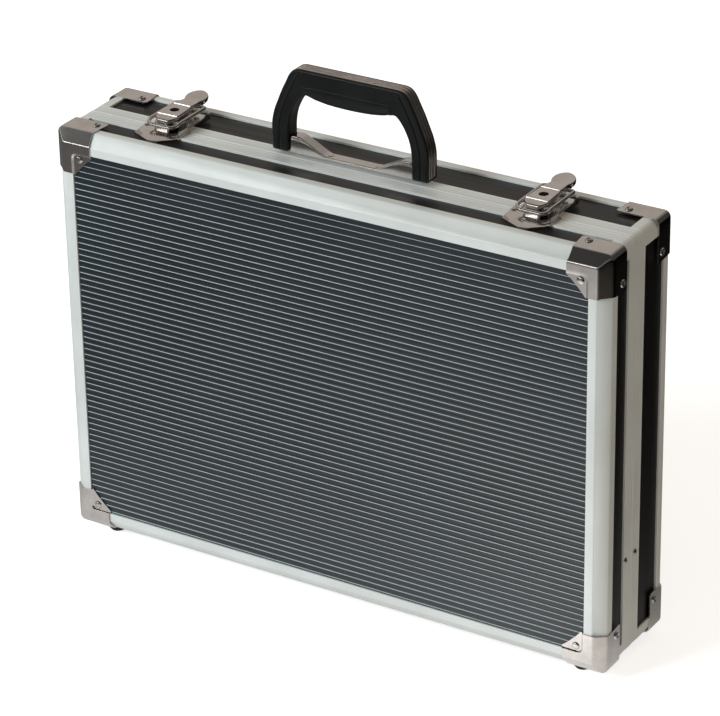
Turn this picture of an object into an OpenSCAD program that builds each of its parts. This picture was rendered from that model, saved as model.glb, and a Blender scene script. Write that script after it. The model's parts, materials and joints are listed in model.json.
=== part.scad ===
// Hard case for a socket set: two aluminium-edged halves on a long hinge,
// with draw latches, a carry handle, lid stays, corner caps and foam inserts.
// Millimetres. X runs along the front, Y runs back, Z is up. The case stands on its feet.

/* [Body] */
// Width of the case over the aluminium edges
case_w = 460; // [420:1:500]
// Height of the case over the aluminium edges
case_h = 330; // [290:1:370]
// Depth of the case over both edge frames
case_d = 97; // [92:1:110]
// Distance from the front plane to the parting line
lid_depth = 42.2; // [40:0.1:46]
// Radius of the four long corner edges
corner_r = 7; // [6:0.5:8]
// Thickness of the side, front and back panels
panel_t = 3; // [2:0.5:3]

/* [Edge frame] */
// Width of the bevel seen from the front
bevel_w = 9; // [8:0.5:10]
// Depth of the bevel seen from the side
bevel_d = 7.5; // [7:0.5:8]
// Width of the flat strip round the front panel
front_strip = 6.5; // [5:0.5:8]
// Width of the flat strip beside the side panels
side_strip = 6.7; // [5:0.1:7]
// How far the side panels lie below the strips
panel_drop = 1.8; // [1.5:0.1:2]
// How far the front and back panels lie behind the strips
front_drop = 1.3; // [1:0.1:1.5]

/* [Front panel lines] */
// Spacing of the thin lines on the front and back panels
line_pitch = 4.95; // [4:0.05:8]
// Width of each thin line
line_w = 0.8; // [0.5:0.1:1.2]
// Depth of each thin line
line_d = 0.3; // [0.2:0.05:0.4]

/* [Corner caps] */
// Length of each cap leg along the edges
cap_leg = 31; // [28:1:34]
// Depth of the cap flaps from the front plane
cap_reach = 24.8; // [22:0.2:27]
// Sheet thickness of the caps
cap_t = 1; // [0.8:0.1:1.2]
// Diameter of the dome rivet heads
rivet_d = 5.6; // [4.5:0.1:6]

/* [Feet] */
// Diameter of the rubber feet
foot_d = 14; // [12:1:15]
// Height of the case above the floor
foot_h = 8; // [7.5:0.5:10]

/* [Handle] */
// Width of the handle over its legs
handle_w = 130.6; // [124:0.2:136]
// Height of the grip above the case
handle_top = 69; // [64:1:74]
// Thickness of the handle front to back
handle_t = 13.5; // [12:0.5:15]
// Height of the handle pivot above the case
pivot_h = 10.5; // [10.5:0.5:12]
// Radius of the handle pivot pins
pivot_r = 2; // [1.6:0.1:2.4]

/* [Latches] */
// Distance of each latch from the end of the case
latch_in = 76; // [70:1:90]
// Width of the latch lever
lever_w = 17; // [16.6:0.2:17.2]
// Wire diameter of the bail
wire_d = 2.8; // [2.6:0.1:3]
// Radius of the latch pivot pins
pin_r = 1.5; // [1.2:0.1:1.6]

/* [Lid stays] */
// Height of the stay studs above the bottom of the case
stay_z = 80; // [75:1:90]
// Width of the stay links
link_w = 10; // [9:0.5:10]
// Sheet thickness of the stay links
link_t = 1.5; // [1.2:0.1:1.6]

/* [Hinge] */
// Distance of the hinge ends from the ends of the case
hinge_in = 59; // [50:1:80]
// Thickness of the hinge leaves
leaf_t = 0.8; // [0.7:0.1:1]

/* [Inside] */
// Thickness of the lid foam pad
pad_t = 11; // [8:1:14]
// Thickness of the foam floor in the base
floor_t = 8; // [6:1:10]
// Thickness of the cut-out tray in the base
tray_t = 36; // [28:1:36]

/* [Fits] */
// Radial clearance of pins in their holes
fit_gap = 0.06; // [0.04:0.01:0.1]
// Gap between the two halves at the parting line
joint_gap = 0.3; // [0.3:0.1:0.5]

/* [Hidden] */
$fn = 48;
hw = case_w / 2;
hh = case_h / 2;
strip_in = bevel_w + front_strip;
strip_end = bevel_d + side_strip;
wall_in = panel_drop + panel_t;
lid_end = lid_depth - joint_gap / 2;
base_start = lid_depth + joint_gap / 2;
part_w = 12;
lip_w = 0.9;
field_drop = 0.22;
bracket_x = handle_w / 2 - 14.3;
belly_x = handle_w / 2 - 32.3;
lid_panel_end = lid_depth - 8;
base_panel_start = lid_depth + 8;
mitre = 0.1;
hinge_y = lid_depth;
hinge_z = -3;
knuckle_r = 2.6;
hinge_half = hw - hinge_in;
knuckles = 9;
knuckle_l = 2 * hinge_half / knuckles;
hinge_rivets_n = 6;
hinge_step = (2 * hinge_half - 42) / (hinge_rivets_n - 1);
bevel_l = sqrt(bevel_w * bevel_w + bevel_d * bevel_d);
bevel_nx = bevel_d / bevel_l;
bevel_ny = bevel_w / bevel_l;
rivet_in = 21.5;
rivet_up = 20.3;
flap_in = 25.5;
flap_y = 19.2;
trim_w = 12;
handle_y = lid_depth + 6.55;
handle_x = -1;
rib_w = 2.6;
rib_gap = 0.9;
rib_t = 1.1;
band_w = 3 * rib_w + 2 * rib_gap;
belly_h = handle_top - 13;
latch_x = hw - latch_in;
latch_p_y = -5.2;
latch_p_h = 8;
bail_y = -13.4;
bail_h = 7.2;
bail_tilt = 16;
bail_run = 6;
bail_knee = 4;
bail_q_y = 27.8;
bail_q_h = bail_h + bail_run * sin(bail_tilt) + bail_knee * (1 - cos(bail_tilt));
bail_x = lever_w / 2 + 3.8;
plate_x = 15.1;
key_y = 5.8;
catch_rivet_y = -5.4;
plate_rivet_y = 21.8;
cheek_t = 1.2;
ear_out = lever_w / 2 - cheek_t - 0.2;
ear_in = ear_out - 1.2;
ear_r = 2.8;
nose_r = 5.3;
lock_r = 5.9;
plug_r = 4.2;
stay_base_y = lid_depth + 5.4;
stay_lid_y = lid_depth - 9.3;
elbow_y = stay_base_y + stay_lid_y - hinge_y;
elbow_z = 2 * stay_z - hinge_z;
stay_low_x = hw - wall_in - link_t - 1.5;
stay_up_x = stay_low_x - link_t - 0.4;
lug_reach = link_w + 0.5;
stud_r = 1.5;
cap_in = strip_in + 1.4;
tray_x = hw - 16;
tray_y0 = case_d - front_drop - panel_t - floor_t - tray_t;
pocket_x = tray_x - 14;

// Offset of the bevel corner on the side face for an envelope grown by d
function bevel_y(d) = bevel_d - d * (1 - bevel_nx) / bevel_ny;
// Offset of the bevel corner on the front face for an envelope grown by d
function bevel_x(d) = bevel_w - d * (1 - bevel_ny) / bevel_nx;
// Outline with both bevels, for a half width h grown by d
function outline(h, d) = [
  [h + d, bevel_y(d)], [h - bevel_x(d), -d], [bevel_x(d) - h, -d], [-h - d, bevel_y(d)],
  [-h - d, case_d - bevel_y(d)], [bevel_x(d) - h, case_d + d], [h - bevel_x(d), case_d + d],
  [h + d, case_d - bevel_y(d)]];

// Puts the case in its own frame: centred, feet on z = 0
module seat() {
  translate([0, -case_d / 2, foot_h])
    children();
}

// The rear half mirrors the front half
module rear() {
  translate([0, case_d, 0])
    mirror([0, 1, 0])
      children();
}

module both_x() {
  children();
  mirror([1, 0, 0])
    children();
}

module both_z() {
  children();
  translate([0, 0, case_h])
    mirror([0, 0, 1])
      children();
}

module four() {
  both_x()
    both_z()
      children();
}

module block(x0, x1, y0, y1, z0, z1) {
  translate([x0, y0, z0])
    cube([x1 - x0, y1 - y0, z1 - z0]);
}

module rod_x(r, x0, x1, y, z) {
  translate([x0, y, z])
    rotate([0, 90, 0])
      cylinder(r = r, h = x1 - x0);
}

module rod_y(r, x, y0, y1, z) {
  translate([x, y1, z])
    rotate([90, 0, 0])
      cylinder(r = r, h = y1 - y0);
}

module round_rect(w, h, r) {
  square([w - 2 * r, h], center = true);
  square([w, h - 2 * r], center = true);
  for (sx = [-1, 1])
    for (sz = [-1, 1])
      translate([sx * (w / 2 - r), sz * (h / 2 - r)])
        circle(r = r);
}

// Rounded rectangular prism along Y, grown by d
module prism(d, y0, y1) {
  translate([0, y1, hh])
    rotate([90, 0, 0])
      linear_extrude(height = y1 - y0)
        round_rect(case_w + 2 * d, case_h + 2 * d, max(corner_r + d, 0.6));
}

// The bevelled envelope of the case grown by d, between two Y planes
module envelope(d, y0, y1) {
  intersection() {
    prism(d, y0, y1);
    translate([0, 0, -20])
      linear_extrude(height = case_h + 40)
        polygon(outline(hw, d));
    translate([0, 0, hh])
      rotate([0, -90, 0])
        linear_extrude(height = case_w + 40, center = true)
          polygon(outline(hh, d));
  }
}

module frame_hole(e, y0, y1) {
  block(e - hw, hw - e, y0, y1, e, case_h - e);
}

// Mitre wedges that split a ring into four bars
module wedge_top() {
  translate([0, 200, 0])
    rotate([90, 0, 0])
      linear_extrude(height = 300)
        polygon([[-hw - 5, case_h + 5 + mitre], [hw + 5, case_h + 5 + mitre], [hw - 30, case_h - 30 + mitre],
          [30 - hw, case_h - 30 + mitre]]);
}

module wedge_side() {
  translate([0, 200, 0])
    rotate([90, 0, 0])
      linear_extrude(height = 300)
        polygon([[hw + 5, case_h + 5], [hw + 5, -5], [hw - 30, 30], [hw - 30, case_h - 30]]);
}

module four_bars() {
  both_z()
    intersection() {
      children();
      wedge_top();
    }
  both_x()
    intersection() {
      children();
      wedge_side();
    }
}

// Rivet holes of one front corner, at +X and +Z
module corner_shanks(r) {
  rod_y(r, hw - rivet_in, -2, 4, case_h - rivet_up);
  rod_x(r, hw - 4, hw + 4, flap_y, case_h - flap_in);
  translate([hw - flap_in, flap_y, case_h - 4])
    cylinder(r = r, h = 8);
}

module dome(d, h) {
  rotate_extrude()
    intersection() {
      translate([0, h - (d * d / 4 + h * h) / (2 * h)])
        circle(r = (d * d / 4 + h * h) / (2 * h), $fn = 96);
      square([d, h]);
    }
}

module corner_rivets_one() {
  translate([hw - rivet_in, front_drop - cap_t, case_h - rivet_up])
    rotate([90, 0, 0])
      dome(rivet_d, 1.2);
  rod_y(1.4, hw - rivet_in, front_drop - cap_t - 0.2, 4, case_h - rivet_up);
  translate([hw + cap_t, flap_y, case_h - flap_in])
    rotate([0, 90, 0])
      dome(rivet_d, 1.5);
  rod_x(1.4, hw - 4, hw + cap_t + 0.2, flap_y, case_h - flap_in);
}

module corner_rivet_top() {
  translate([hw - flap_in, flap_y, case_h + cap_t])
    dome(rivet_d, 1.5);
  translate([hw - flap_in, flap_y, case_h - 4])
    cylinder(r = 1.4, h = 4 + cap_t + 0.2);
}

// Front ring of the edge frame before mitring
module edge_ring() {
  difference() {
    envelope(0, -1, strip_end);
    frame_hole(strip_in, -2, front_drop + 0.01);
    frame_hole(bevel_w, front_drop, front_drop + panel_t);
    frame_hole(bevel_w + 3.5, 4, front_drop + panel_t + 1.4);
    envelope(-3.2, front_drop + panel_t + 1.3, strip_end + 5);
    prism(-panel_drop, 9.5, strip_end + 1);
    four()
      corner_shanks(1.4);
  }
}

module edge_frame() {
  four_bars()
    edge_ring();
}

module lined_panel() {
  difference() {
    block(bevel_w - hw, hw - bevel_w, front_drop, front_drop + panel_t, bevel_w, case_h - bevel_w);
    for (i = [0 : floor((case_h - 2 * strip_in - 1.5) / line_pitch)])
      block(strip_in - hw + 0.2, hw - strip_in - 0.2, 0, front_drop + line_d,
        strip_in + 1.2 + i * line_pitch, strip_in + 1.2 + line_w + i * line_pitch);
    four()
      corner_shanks(1.4);
  }
}

// Side panels between two Y planes, beneath strips and trims
module side_panels(y0, y1) {
  difference() {
    union() {
      both_z()
        block(corner_r - hw, hw - corner_r, y0, y1, case_h - wall_in, case_h - panel_drop);
      both_x()
        block(hw - wall_in, hw - panel_drop, y0, y1, corner_r, case_h - corner_r);
    }
    four()
      corner_shanks(1.4);
    rear()
      four()
        corner_shanks(1.4);
    shank_holes();
  }
}

module corner_trim(y0, y1) {
  intersection() {
    difference() {
      prism(0, y0, y1);
      prism(-panel_drop, y0 - 1, y1 + 1);
    }
    block(hw - trim_w, hw + 1, y0, y1, case_h - trim_w, case_h + 1);
  }
}

// Outer ring of a parting frame: a shallow field from g0 to g1 between two lips
module strip_ring(y0, y1, g0, g1) {
  difference() {
    prism(0, y0, y1);
    prism(-panel_drop, y0 - 1, y1 + 1);
    difference() {
      prism(1, g0, g1);
      prism(-field_drop, g0 - 1, g1 + 1);
    }
  }
}

module ring(d0, d1, y0, y1) {
  difference() {
    prism(-d0, y0, y1);
    prism(-d1, y0 - 1, y1 + 1);
  }
}

// Holes for the shanks of stays, hinge, bracket and latches
module shank_holes() {
  both_x() {
    rod_x(1.5, hw - 10, hw + 2, stay_lid_y, stay_z);
    rod_x(1.5, hw - 10, hw + 2, stay_base_y, stay_z);
  }
  for (i = [0 : hinge_rivets_n - 1])
    for (s = [-1, 1])
      translate([21 - hinge_half + i * hinge_step, hinge_y + s * 7.6, -1])
        cylinder(r = 1.2, h = 8);
  for (s = [-1, 1]) {
    translate([handle_x + s * 20, handle_y + 0.5, case_h - 8])
      cylinder(r = 1.5, h = 12);
    at_latch(s) {
      translate([-17, catch_rivet_y, -8])
        cylinder(r = 1.3, h = 12);
      for (t = [-8, 8])
        translate([t, plate_rivet_y, -8])
          cylinder(r = 1.3, h = 12);
    }
  }
}

module lid_parting() {
  difference() {
    four_bars()
      union() {
        strip_ring(lid_depth - 11.5, lid_end, lid_depth - 11.5 + lip_w, lid_end - 2.6);
        ring(1.6, wall_in, lid_panel_end, lid_depth - 4.5);
      }
    shank_holes();
  }
}

module base_parting() {
  difference() {
    four_bars()
      union() {
        strip_ring(base_start, lid_depth + part_w, base_start + 2.6, lid_depth + part_w - lip_w);
        ring(1.6, wall_in, lid_depth + 3.5, base_panel_start);
        ring(panel_drop + 0.4, wall_in - 1, lid_depth - 4, lid_depth + 4);
      }
    shank_holes();
  }
}

module corner_rivet_set() {
  four()
    corner_rivets_one();
  both_x()
    corner_rivet_top();
}

// One front corner cap at +X and +Z: two flaps, bevel facets, front legs and a stepped lug
module corner_cap() {
  difference() {
    union() {
      intersection() {
        difference() {
          envelope(cap_t, -3, cap_reach);
          envelope(0, -1, cap_reach + 1);
        }
        union() {
          block(hw - cap_in, hw + 2, -3, 40, case_h - cap_leg, case_h + 2);
          block(hw - cap_leg, hw + 2, -3, 40, case_h - cap_in, case_h + 2);
        }
      }
      block(hw - panel_drop, hw + 0.3, strip_end + 0.1, cap_reach, case_h - cap_leg, case_h - trim_w - 0.2);
      block(hw - cap_leg, hw - trim_w - 0.2, strip_end + 0.1, cap_reach, case_h - panel_drop, case_h + 0.3);
      translate([hw, front_drop, case_h])
        rotate([90, 0, 0])
          linear_extrude(height = cap_t)
            polygon([[-strip_in - 0.1, -strip_in - 0.1], [-cap_leg, -strip_in - 0.1], [-cap_leg, -20.5],
              [-20.5, -cap_leg - 1.5], [-strip_in - 0.1, -cap_leg - 1.5]]);
      block(hw - cap_leg, hw - strip_in - 0.1, -cap_t, front_drop, case_h - cap_in, case_h - strip_in - 0.1);
      block(hw - cap_in, hw - strip_in - 0.1, -cap_t, front_drop, case_h - cap_leg, case_h - strip_in - 0.1);
    }
    for (a = [0, 1])
      translate(a == 0 ? [hw, cap_reach, case_h - cap_leg] : [hw - cap_leg, cap_reach, case_h])
        rotate(a == 0 ? [45, 0, 0] : [0, 0, 45])
          cube(a == 0 ? [12, 3.4, 3.4] : [3.4, 3.4, 12], center = true);
    corner_shanks(1.4);
  }
}

module foot() {
  translate([hw - flap_in, flap_y, -foot_h]) {
    cylinder(r1 = foot_d / 2 - 1.6, r2 = foot_d / 2, h = 2.2);
    translate([0, 0, 2.2])
      cylinder(r = foot_d / 2, h = foot_h - cap_t - 2.2);
  }
  translate([hw - flap_in, flap_y, -cap_t - 0.5])
    cylinder(r = 1.4, h = 5.5);
}

// Hinge leaf: a plate with every second knuckle; the joined edge is notched for the others
module hinge_leaf(first) {
  difference() {
    union() {
      block(-hinge_half, hinge_half, hinge_y - 12, hinge_y - 0.15, -leaf_t, 0);
      for (i = [first : 2 : knuckles - 1])
        rod_x(knuckle_r, i * knuckle_l - hinge_half + 0.2, (i + 1) * knuckle_l - hinge_half - 0.2,
          hinge_y, hinge_z);
      for (i = [first : 2 : knuckles - 1])
        block(i * knuckle_l - hinge_half + 0.2, (i + 1) * knuckle_l - hinge_half - 0.2,
          hinge_y - knuckle_r, hinge_y - 1.4, hinge_z, 0);
    }
    for (i = [1 - first : 2 : knuckles - 1])
      block(i * knuckle_l - hinge_half - 0.21, (i + 1) * knuckle_l - hinge_half + 0.21,
        hinge_y - knuckle_r - 0.5, hinge_y + 5, -9, 1);
    rod_x(0.9 + fit_gap, -hinge_half - 1, hinge_half + 1, hinge_y, hinge_z);
    hinge_shanks();
  }
}

module hinge_shanks() {
  for (i = [0 : hinge_rivets_n - 1])
    translate([21 - hinge_half + i * hinge_step, hinge_y - 7.6, -1])
      cylinder(r = 1.2, h = 5);
}

module hinge_rivets() {
  for (i = [0 : hinge_rivets_n - 1])
    translate([21 - hinge_half + i * hinge_step, hinge_y - 7.6, -leaf_t]) {
      mirror([0, 0, 1])
        dome(4.4, 1.1);
      cylinder(r = 1.2, h = 4.5);
    }
}

// Mirrors across the hinge axis, from the lid's side to the base's
module over_hinge() {
  translate([0, 2 * hinge_y, 0])
    mirror([0, 1, 0])
      children();
}

// A latch stands at x = 0, on the case top at z = 0, with Y counted from the parting line
module at_latch(side) {
  translate([side * latch_x - 0.5, lid_depth, case_h])
    children();
}

module both_latches() {
  at_latch(-1)
    children();
  at_latch(1)
    children();
}

// A side profile given as [y, z], extruded across a latch from x0 to x1
module latch_slice(x0, x1, pts) {
  translate([x0, 0, 0])
    rotate([90, 0, 90])
      linear_extrude(height = x1 - x0)
        polygon(pts);
}

// Catch plate on the lid: bevelled plate, hook web with gussets, and one turned-up flange
module catch_plate() {
  e = -joint_gap / 2;
  difference() {
    union() {
      hull() {
        translate([0, 0, -panel_drop])
          linear_extrude(height = panel_drop + 0.4)
            polygon([[-21, e], [-20, -18.2], [-3, -26.4], [4, -25.2], [13, -17.5], [15.5, -14.2],
              [17.5, e]]);
        translate([0, 0, 0.5])
          linear_extrude(height = 1.5)
            polygon([[-20, e], [-17.4, -14.2], [-2, -22], [3, -21.2], [9.6, -15.2], [12.6, -12.2],
              [15.5, e]]);
      }
      latch_slice(-5, 5, [[-11.9, 1], [-10.8, 1], [-10.8, 7.5], [-11.9, 7.5]]);
      for (s = [-1, 1])
        latch_slice(s < 0 ? -6.2 : 5, s < 0 ? -5 : 6.2, [[-13.6, 1], [-10.8, 1], [-10.8, 5.2]]);
    }
    block(-30, 30, -11.5, 20, -5, 0);
    translate([-17, catch_rivet_y, -3])
      cylinder(r = 1.3, h = 9);
  }
  latch_slice(14.2, 15.4, [[-12.7, 1.5], [-0.7, 1.5], [-0.7, 4.6], [-10.7, 4.6]]);
}

module catch_rivet() {
  translate([-17, catch_rivet_y, 2])
    dome(4.8, 1.3);
  translate([-17, catch_rivet_y, -1.5])
    cylinder(r = 1.3, h = 3.8);
}

// Latch base: plate, raised rails, two ears that carry the lever pin, and a keeper for the cam
module latch_base() {
  difference() {
    union() {
      block(-plate_x, plate_x, joint_gap / 2 + 0.15, 29.8, 0, 2);
      for (s = [-1, 1]) {
        latch_slice(s < 0 ? -plate_x : plate_x - 1, s < 0 ? 1 - plate_x : plate_x,
          [[0.8, 1], [29.8, 1], [29.8, 6.2], [25.4, 5.4], [22.4, 3.2], [0.8, 2.7]]);
        latch_slice(s < 0 ? -ear_out : ear_in, s < 0 ? -ear_in : ear_out,
          [[latch_p_y, latch_p_h - ear_r], [-1.4, 5.2], [0.8, 1], [4.8, 1], [4.8, 4], [-1.2, 9.6],
          [latch_p_y, latch_p_h + ear_r]]);
        rod_x(ear_r, s < 0 ? -ear_out : ear_in, s < 0 ? -ear_in : ear_out, latch_p_y, latch_p_h);
      }
      block(5.6, 6.8, key_y - 2, key_y + 2, 1, 5.7);
      block(2.7, 6.8, key_y - 2, key_y + 2, 4.7, 5.7);
    }
    rod_x(pin_r, -10, 10, latch_p_y, latch_p_h);
    for (s = [-1, 1])
      translate([s * 8, plate_rivet_y, -5])
        cylinder(r = 1.3, h = 9);
  }
}

module latch_plate_rivet() {
  for (s = [-1, 1]) {
    translate([s * 8, plate_rivet_y, 2])
      dome(4.8, 1.2);
    translate([s * 8, plate_rivet_y, -4])
      cylinder(r = 1.3, h = 6.2);
  }
}

// Latch lever: a folded shell with three facets, two cheeks and a rounded finger tab
module lever() {
  hl = lever_w / 2;
  difference() {
    union() {
      latch_slice(-hl, hl, [[-9.2, 9.6], [-3.7, 12.2], [15.8, 12.2], [29.8, 11], [32.3, 11.1], [37.8, 13.4],
        [37.2, 14.6], [32, 12.4], [29.8, 12.3], [15.8, 13.4], [-4, 13.4], [-9.8, 10.7]]);
      intersection() {
        latch_slice(-hl, hl, [[32.3, 11.1], [43.8, 15.9], [43.8, 17.3], [32, 12.4]]);
        translate([0, 33.8, 0])
          cylinder(r = hl, h = 30);
      }
      difference() {
        rod_x(nose_r, -hl, hl, latch_p_y, latch_p_h);
        rod_x(nose_r - cheek_t, cheek_t - hl, hl - cheek_t, latch_p_y, latch_p_h);
        block(cheek_t - hl, hl - cheek_t, latch_p_y, 17.8, 0, 12.3);
        block(cheek_t - hl, hl - cheek_t, -22.2, 17.8, 0, latch_p_h);
      }
      for (s = [-1, 1])
        latch_slice(s < 0 ? -hl : hl - cheek_t, s < 0 ? cheek_t - hl : hl,
          [[latch_p_y, 4.6], [1.8, 6], [23.8, 5.8], [29.8, 7.2], [29.8, 12], [15.8, 13], [-3.8, 13],
          [-8.2, 11], [latch_p_y, 9]]);
    }
    rod_x(pin_r + fit_gap, -20, 20, latch_p_y, latch_p_h);
    rod_x(wire_d / 2 + fit_gap, -20, 20, bail_q_y, bail_q_h);
    translate([0, key_y, 9])
      cylinder(r = lock_r - 1.3, h = 9);
  }
}

module lock_housing() {
  difference() {
    translate([0, key_y, 6.2])
      cylinder(r = lock_r, h = 6);
    translate([0, key_y, 0])
      cylinder(r = plug_r + fit_gap, h = 20);
  }
}

// Turning plug with a keyway, a stem and a cam
module lock_plug() {
  difference() {
    translate([0, key_y, 6.3])
      cylinder(r = plug_r, h = 5.1);
    block(-0.6, 0.6, key_y - 2.8, key_y + 2.8, 8.2, 15);
    translate([0, key_y, 8.2])
      cylinder(r = 1.3, h = 9);
  }
  translate([0, key_y, 3.2])
    cylinder(r = 2, h = 3.4);
  block(-1.2, 1.2, key_y, key_y + 5.2, 3.2, 4.4);
}

// A bend of the bail wire about the origin, from +X towards +Y
module wire_bend(r, turn) {
  rotate_extrude(angle = turn)
    translate([r, 0])
      circle(d = wire_d - 0.06);
}

// Wire bail: front bar and bends in a tilted plane, then level arms with inward ends in the lever cheeks
module bail() {
  front_bend = 5;
  end_bend = 1.9;
  knee_y = bail_y + bail_run * cos(bail_tilt) + bail_knee * sin(bail_tilt);
  translate([0, bail_y, bail_h])
    rotate([bail_tilt, 0, 0]) {
      rod_x(wire_d / 2, front_bend - bail_x - 0.3, bail_x - front_bend + 0.3, 0, 0);
      for (s = [0, 1])
        mirror([s, 0, 0]) {
          translate([bail_x - front_bend, front_bend, 0])
            rotate([0, 0, -90])
              wire_bend(front_bend, 90);
          rod_y(wire_d / 2, bail_x, front_bend - 0.3, bail_run + 0.3, 0);
        }
    }
  for (s = [0, 1])
    mirror([s, 0, 0]) {
      translate([bail_x, knee_y, bail_q_h - bail_knee])
        rotate([0, 0, 90])
          rotate([90, 0, 0])
            rotate([0, 0, 90])
              wire_bend(bail_knee, bail_tilt);
      rod_y(wire_d / 2, bail_x, knee_y - 0.3, bail_q_y - end_bend + 0.3, bail_q_h);
      translate([bail_x - end_bend, bail_q_y - end_bend, bail_q_h])
        wire_bend(end_bend, 90);
      rod_x(wire_d / 2, lever_w / 2 - 2.1, bail_x - end_bend + 0.3, bail_q_y, bail_q_h);
    }
}

module lever_pin() {
  rod_x(pin_r, -lever_w / 2, lever_w / 2, latch_p_y, latch_p_h);
}

// Handle bracket: raised ends, ramps and a flat strap, with a flange down each long side
module bracket_profile(cut) {
  both_x()
    translate([0, 0, case_h])
      translate([0, 60, 0])
        rotate([90, 0, 0])
          linear_extrude(height = 20)
            polygon(cut == 0
              ? [[0, 2.6], [24, 2.6], [bracket_x, 2.6], [bracket_x, 14.2], [bracket_x - 1.2, 15.4],
                [bracket_x - 5, 15.4], [bracket_x - 23, 4.4], [0, 4.4]]
              : [[0, 1], [24, 1], [bracket_x - 1.2, 1], [bracket_x - 1.2, 14.2], [bracket_x - 5.4, 14.2],
                [bracket_x - 23.4, 3.2], [0, 3.2]]);
}

module bracket() {
  y0 = handle_y - 4.25;
  y1 = handle_y + 5.25;
  translate([handle_x, 0, 0])
    difference() {
      union() {
        intersection() {
          difference() {
            bracket_profile(0);
            intersection() {
              bracket_profile(1);
              block(-bracket_x - 9, bracket_x + 9, y0 + 1.1, y1 - 1.1, case_h - 10, case_h + 40);
            }
          }
          block(-bracket_x - 9, bracket_x + 9, y0, y1, case_h - 10, case_h + 40);
        }
        for (s = [-1, 1])
          translate([s * 20, handle_y + 0.5, case_h])
            cylinder(r = 4, h = 3.4);
      }
      for (s = [-1, 1]) {
        rod_x(pivot_r, s * (bracket_x + 1.5) - 7.5, s * (bracket_x + 1.5) + 7.5, handle_y, case_h + pivot_h);
        translate([s * 20, handle_y + 0.5, case_h - 5])
          cylinder(r = 1.5, h = 20);
      }
    }
}

module bracket_rivet_pair() {
  for (s = [-1, 1])
    translate([handle_x + s * 20, handle_y + 0.5, case_h + 4.4]) {
      dome(5, 1.3);
      translate([0, 0, -8.4])
        cylinder(r = 1.5, h = 8.5);
    }
}

module handle_pin_pair() {
  for (s = [-1, 1])
    translate([handle_x, 0, 0]) {
      rod_x(pivot_r, s * (bracket_x + 4) - 7, s * (bracket_x + 4) + 7, handle_y, case_h + pivot_h);
      translate([s * (bracket_x - 2.2), 0, 0])
        rod_x(pivot_r + 1, -0.9, 0.9, handle_y, case_h + pivot_h);
    }
}

module handle_outline() {
  hx = handle_w / 2;
  ht = handle_top;
  offset(r = 7)
    offset(delta = -7)
      polygon([[-hx + 20.5, ht], [hx - 20.5, ht], [hx - 15.5, ht - 3.5], [hx - 12.6, ht - 11],
        [hx - 5.1, ht - 28], [hx - 0.6, ht - 43], [hx, ht - 52], [hx, ht - 59], [hx - 6, ht - 66],
        [6 - hx, ht - 66], [-hx, ht - 59], [-hx, ht - 52], [0.6 - hx, ht - 43], [5.1 - hx, ht - 28],
        [12.6 - hx, ht - 11], [15.5 - hx, ht - 3.5]]);
}

module handle_inner() {
  hx = handle_w / 2 - 13.8;
  ht = handle_top;
  difference() {
    polygon([[-hx, -5], [hx, -5], [hx, ht - 49], [hx - 1, ht - 42], [hx - 6, ht - 28], [hx - 13, ht - 20],
      [13 - hx, ht - 20], [6 - hx, ht - 28], [1 - hx, ht - 42], [-hx, ht - 49]]);
    translate([0, ht - 23.4 + 226])
      circle(r = 226, $fn = 360);
  }
}

module handle_slab(y0, y1, inset) {
  translate([handle_x, y1, case_h])
    rotate([90, 0, 0])
      linear_extrude(height = y1 - y0)
        difference() {
          offset(delta = -inset)
            handle_outline();
          handle_inner();
        }
}

// A band along the outline between two insets, from height h0 to h1, as a plate across Y
module handle_band(y0, y1, out, in, h0, h1) {
  translate([handle_x, y1, case_h])
    rotate([90, 0, 0])
      linear_extrude(height = y1 - y0)
        intersection() {
          difference() {
            offset(delta = out)
              handle_outline();
            offset(delta = -in)
              handle_outline();
          }
          translate([-handle_w, h0])
            square([2 * handle_w, h1 - h0]);
        }
}

// Material taken off one face under the belly line, so that the belly narrows downwards
module belly_cut() {
  f = handle_y - handle_t / 2;
  b = case_h + belly_h;
  intersection() {
    translate([handle_x - handle_w / 2, 0, 0])
      rotate([90, 0, 90])
        linear_extrude(height = handle_w)
          polygon([[f - 1, case_h + 30], [f - 1, b], [f, b - 0.6], [f + 0.7, b - 4.4], [f + 2.3, b - 8],
            [handle_y - 2.4, b - 10.2], [handle_y - 2, case_h + 30]]);
    translate([handle_x, 100, case_h])
      rotate([90, 0, 0])
        linear_extrude(height = 100)
          polygon([[-belly_x, belly_h + 1], [belly_x, belly_h + 1], [belly_x + 5.2, belly_h - 7],
            [belly_x + 5.2, 30], [-belly_x - 5.2, 30], [-belly_x - 5.2, belly_h - 7]]);
  }
}

// Carry handle: grip with a tapered belly, two legs, a channel for the trim and a seam line on each leg face
module grip() {
  y0 = handle_y - handle_t / 2;
  y1 = handle_y + handle_t / 2;
  difference() {
    union() {
      handle_slab(y0, y1, 1.2);
      handle_slab(y0 + 0.9, y1 - 0.9, 0);
    }
    handle_band(handle_y - band_w / 2 - 0.05, handle_y + band_w / 2 + 0.05, 1, rib_t, 5, handle_top + 2);
    for (f = [0, 1])
      translate([0, f * 2 * handle_y, 0])
        mirror([0, f, 0]) {
          belly_cut();
          intersection() {
            handle_band(y0 - 1, y0 + 0.5, -5.5, 6.4, 4, handle_top - 7);
            union() {
              block(handle_x + bracket_x - 11, handle_x + handle_w, 0, 90, case_h, case_h + 90);
              block(handle_x - handle_w, handle_x + 11 - bracket_x, 0, 90, case_h, case_h + 90);
            }
          }
        }
    for (s = [-1, 1])
      translate([handle_x + s * (bracket_x + 0.25), 0, 0])
        rod_x(pivot_r + fit_gap, -11.25, 11.25, handle_y, case_h + pivot_h);
    for (s = [-1, 1])
      translate([handle_x, handle_y + s * (handle_t / 2 + 0.01), case_h + 2.9])
        rotate([45, 0, 0])
          cube([200, 5.4, 5.4], center = true);
  }
}

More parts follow.
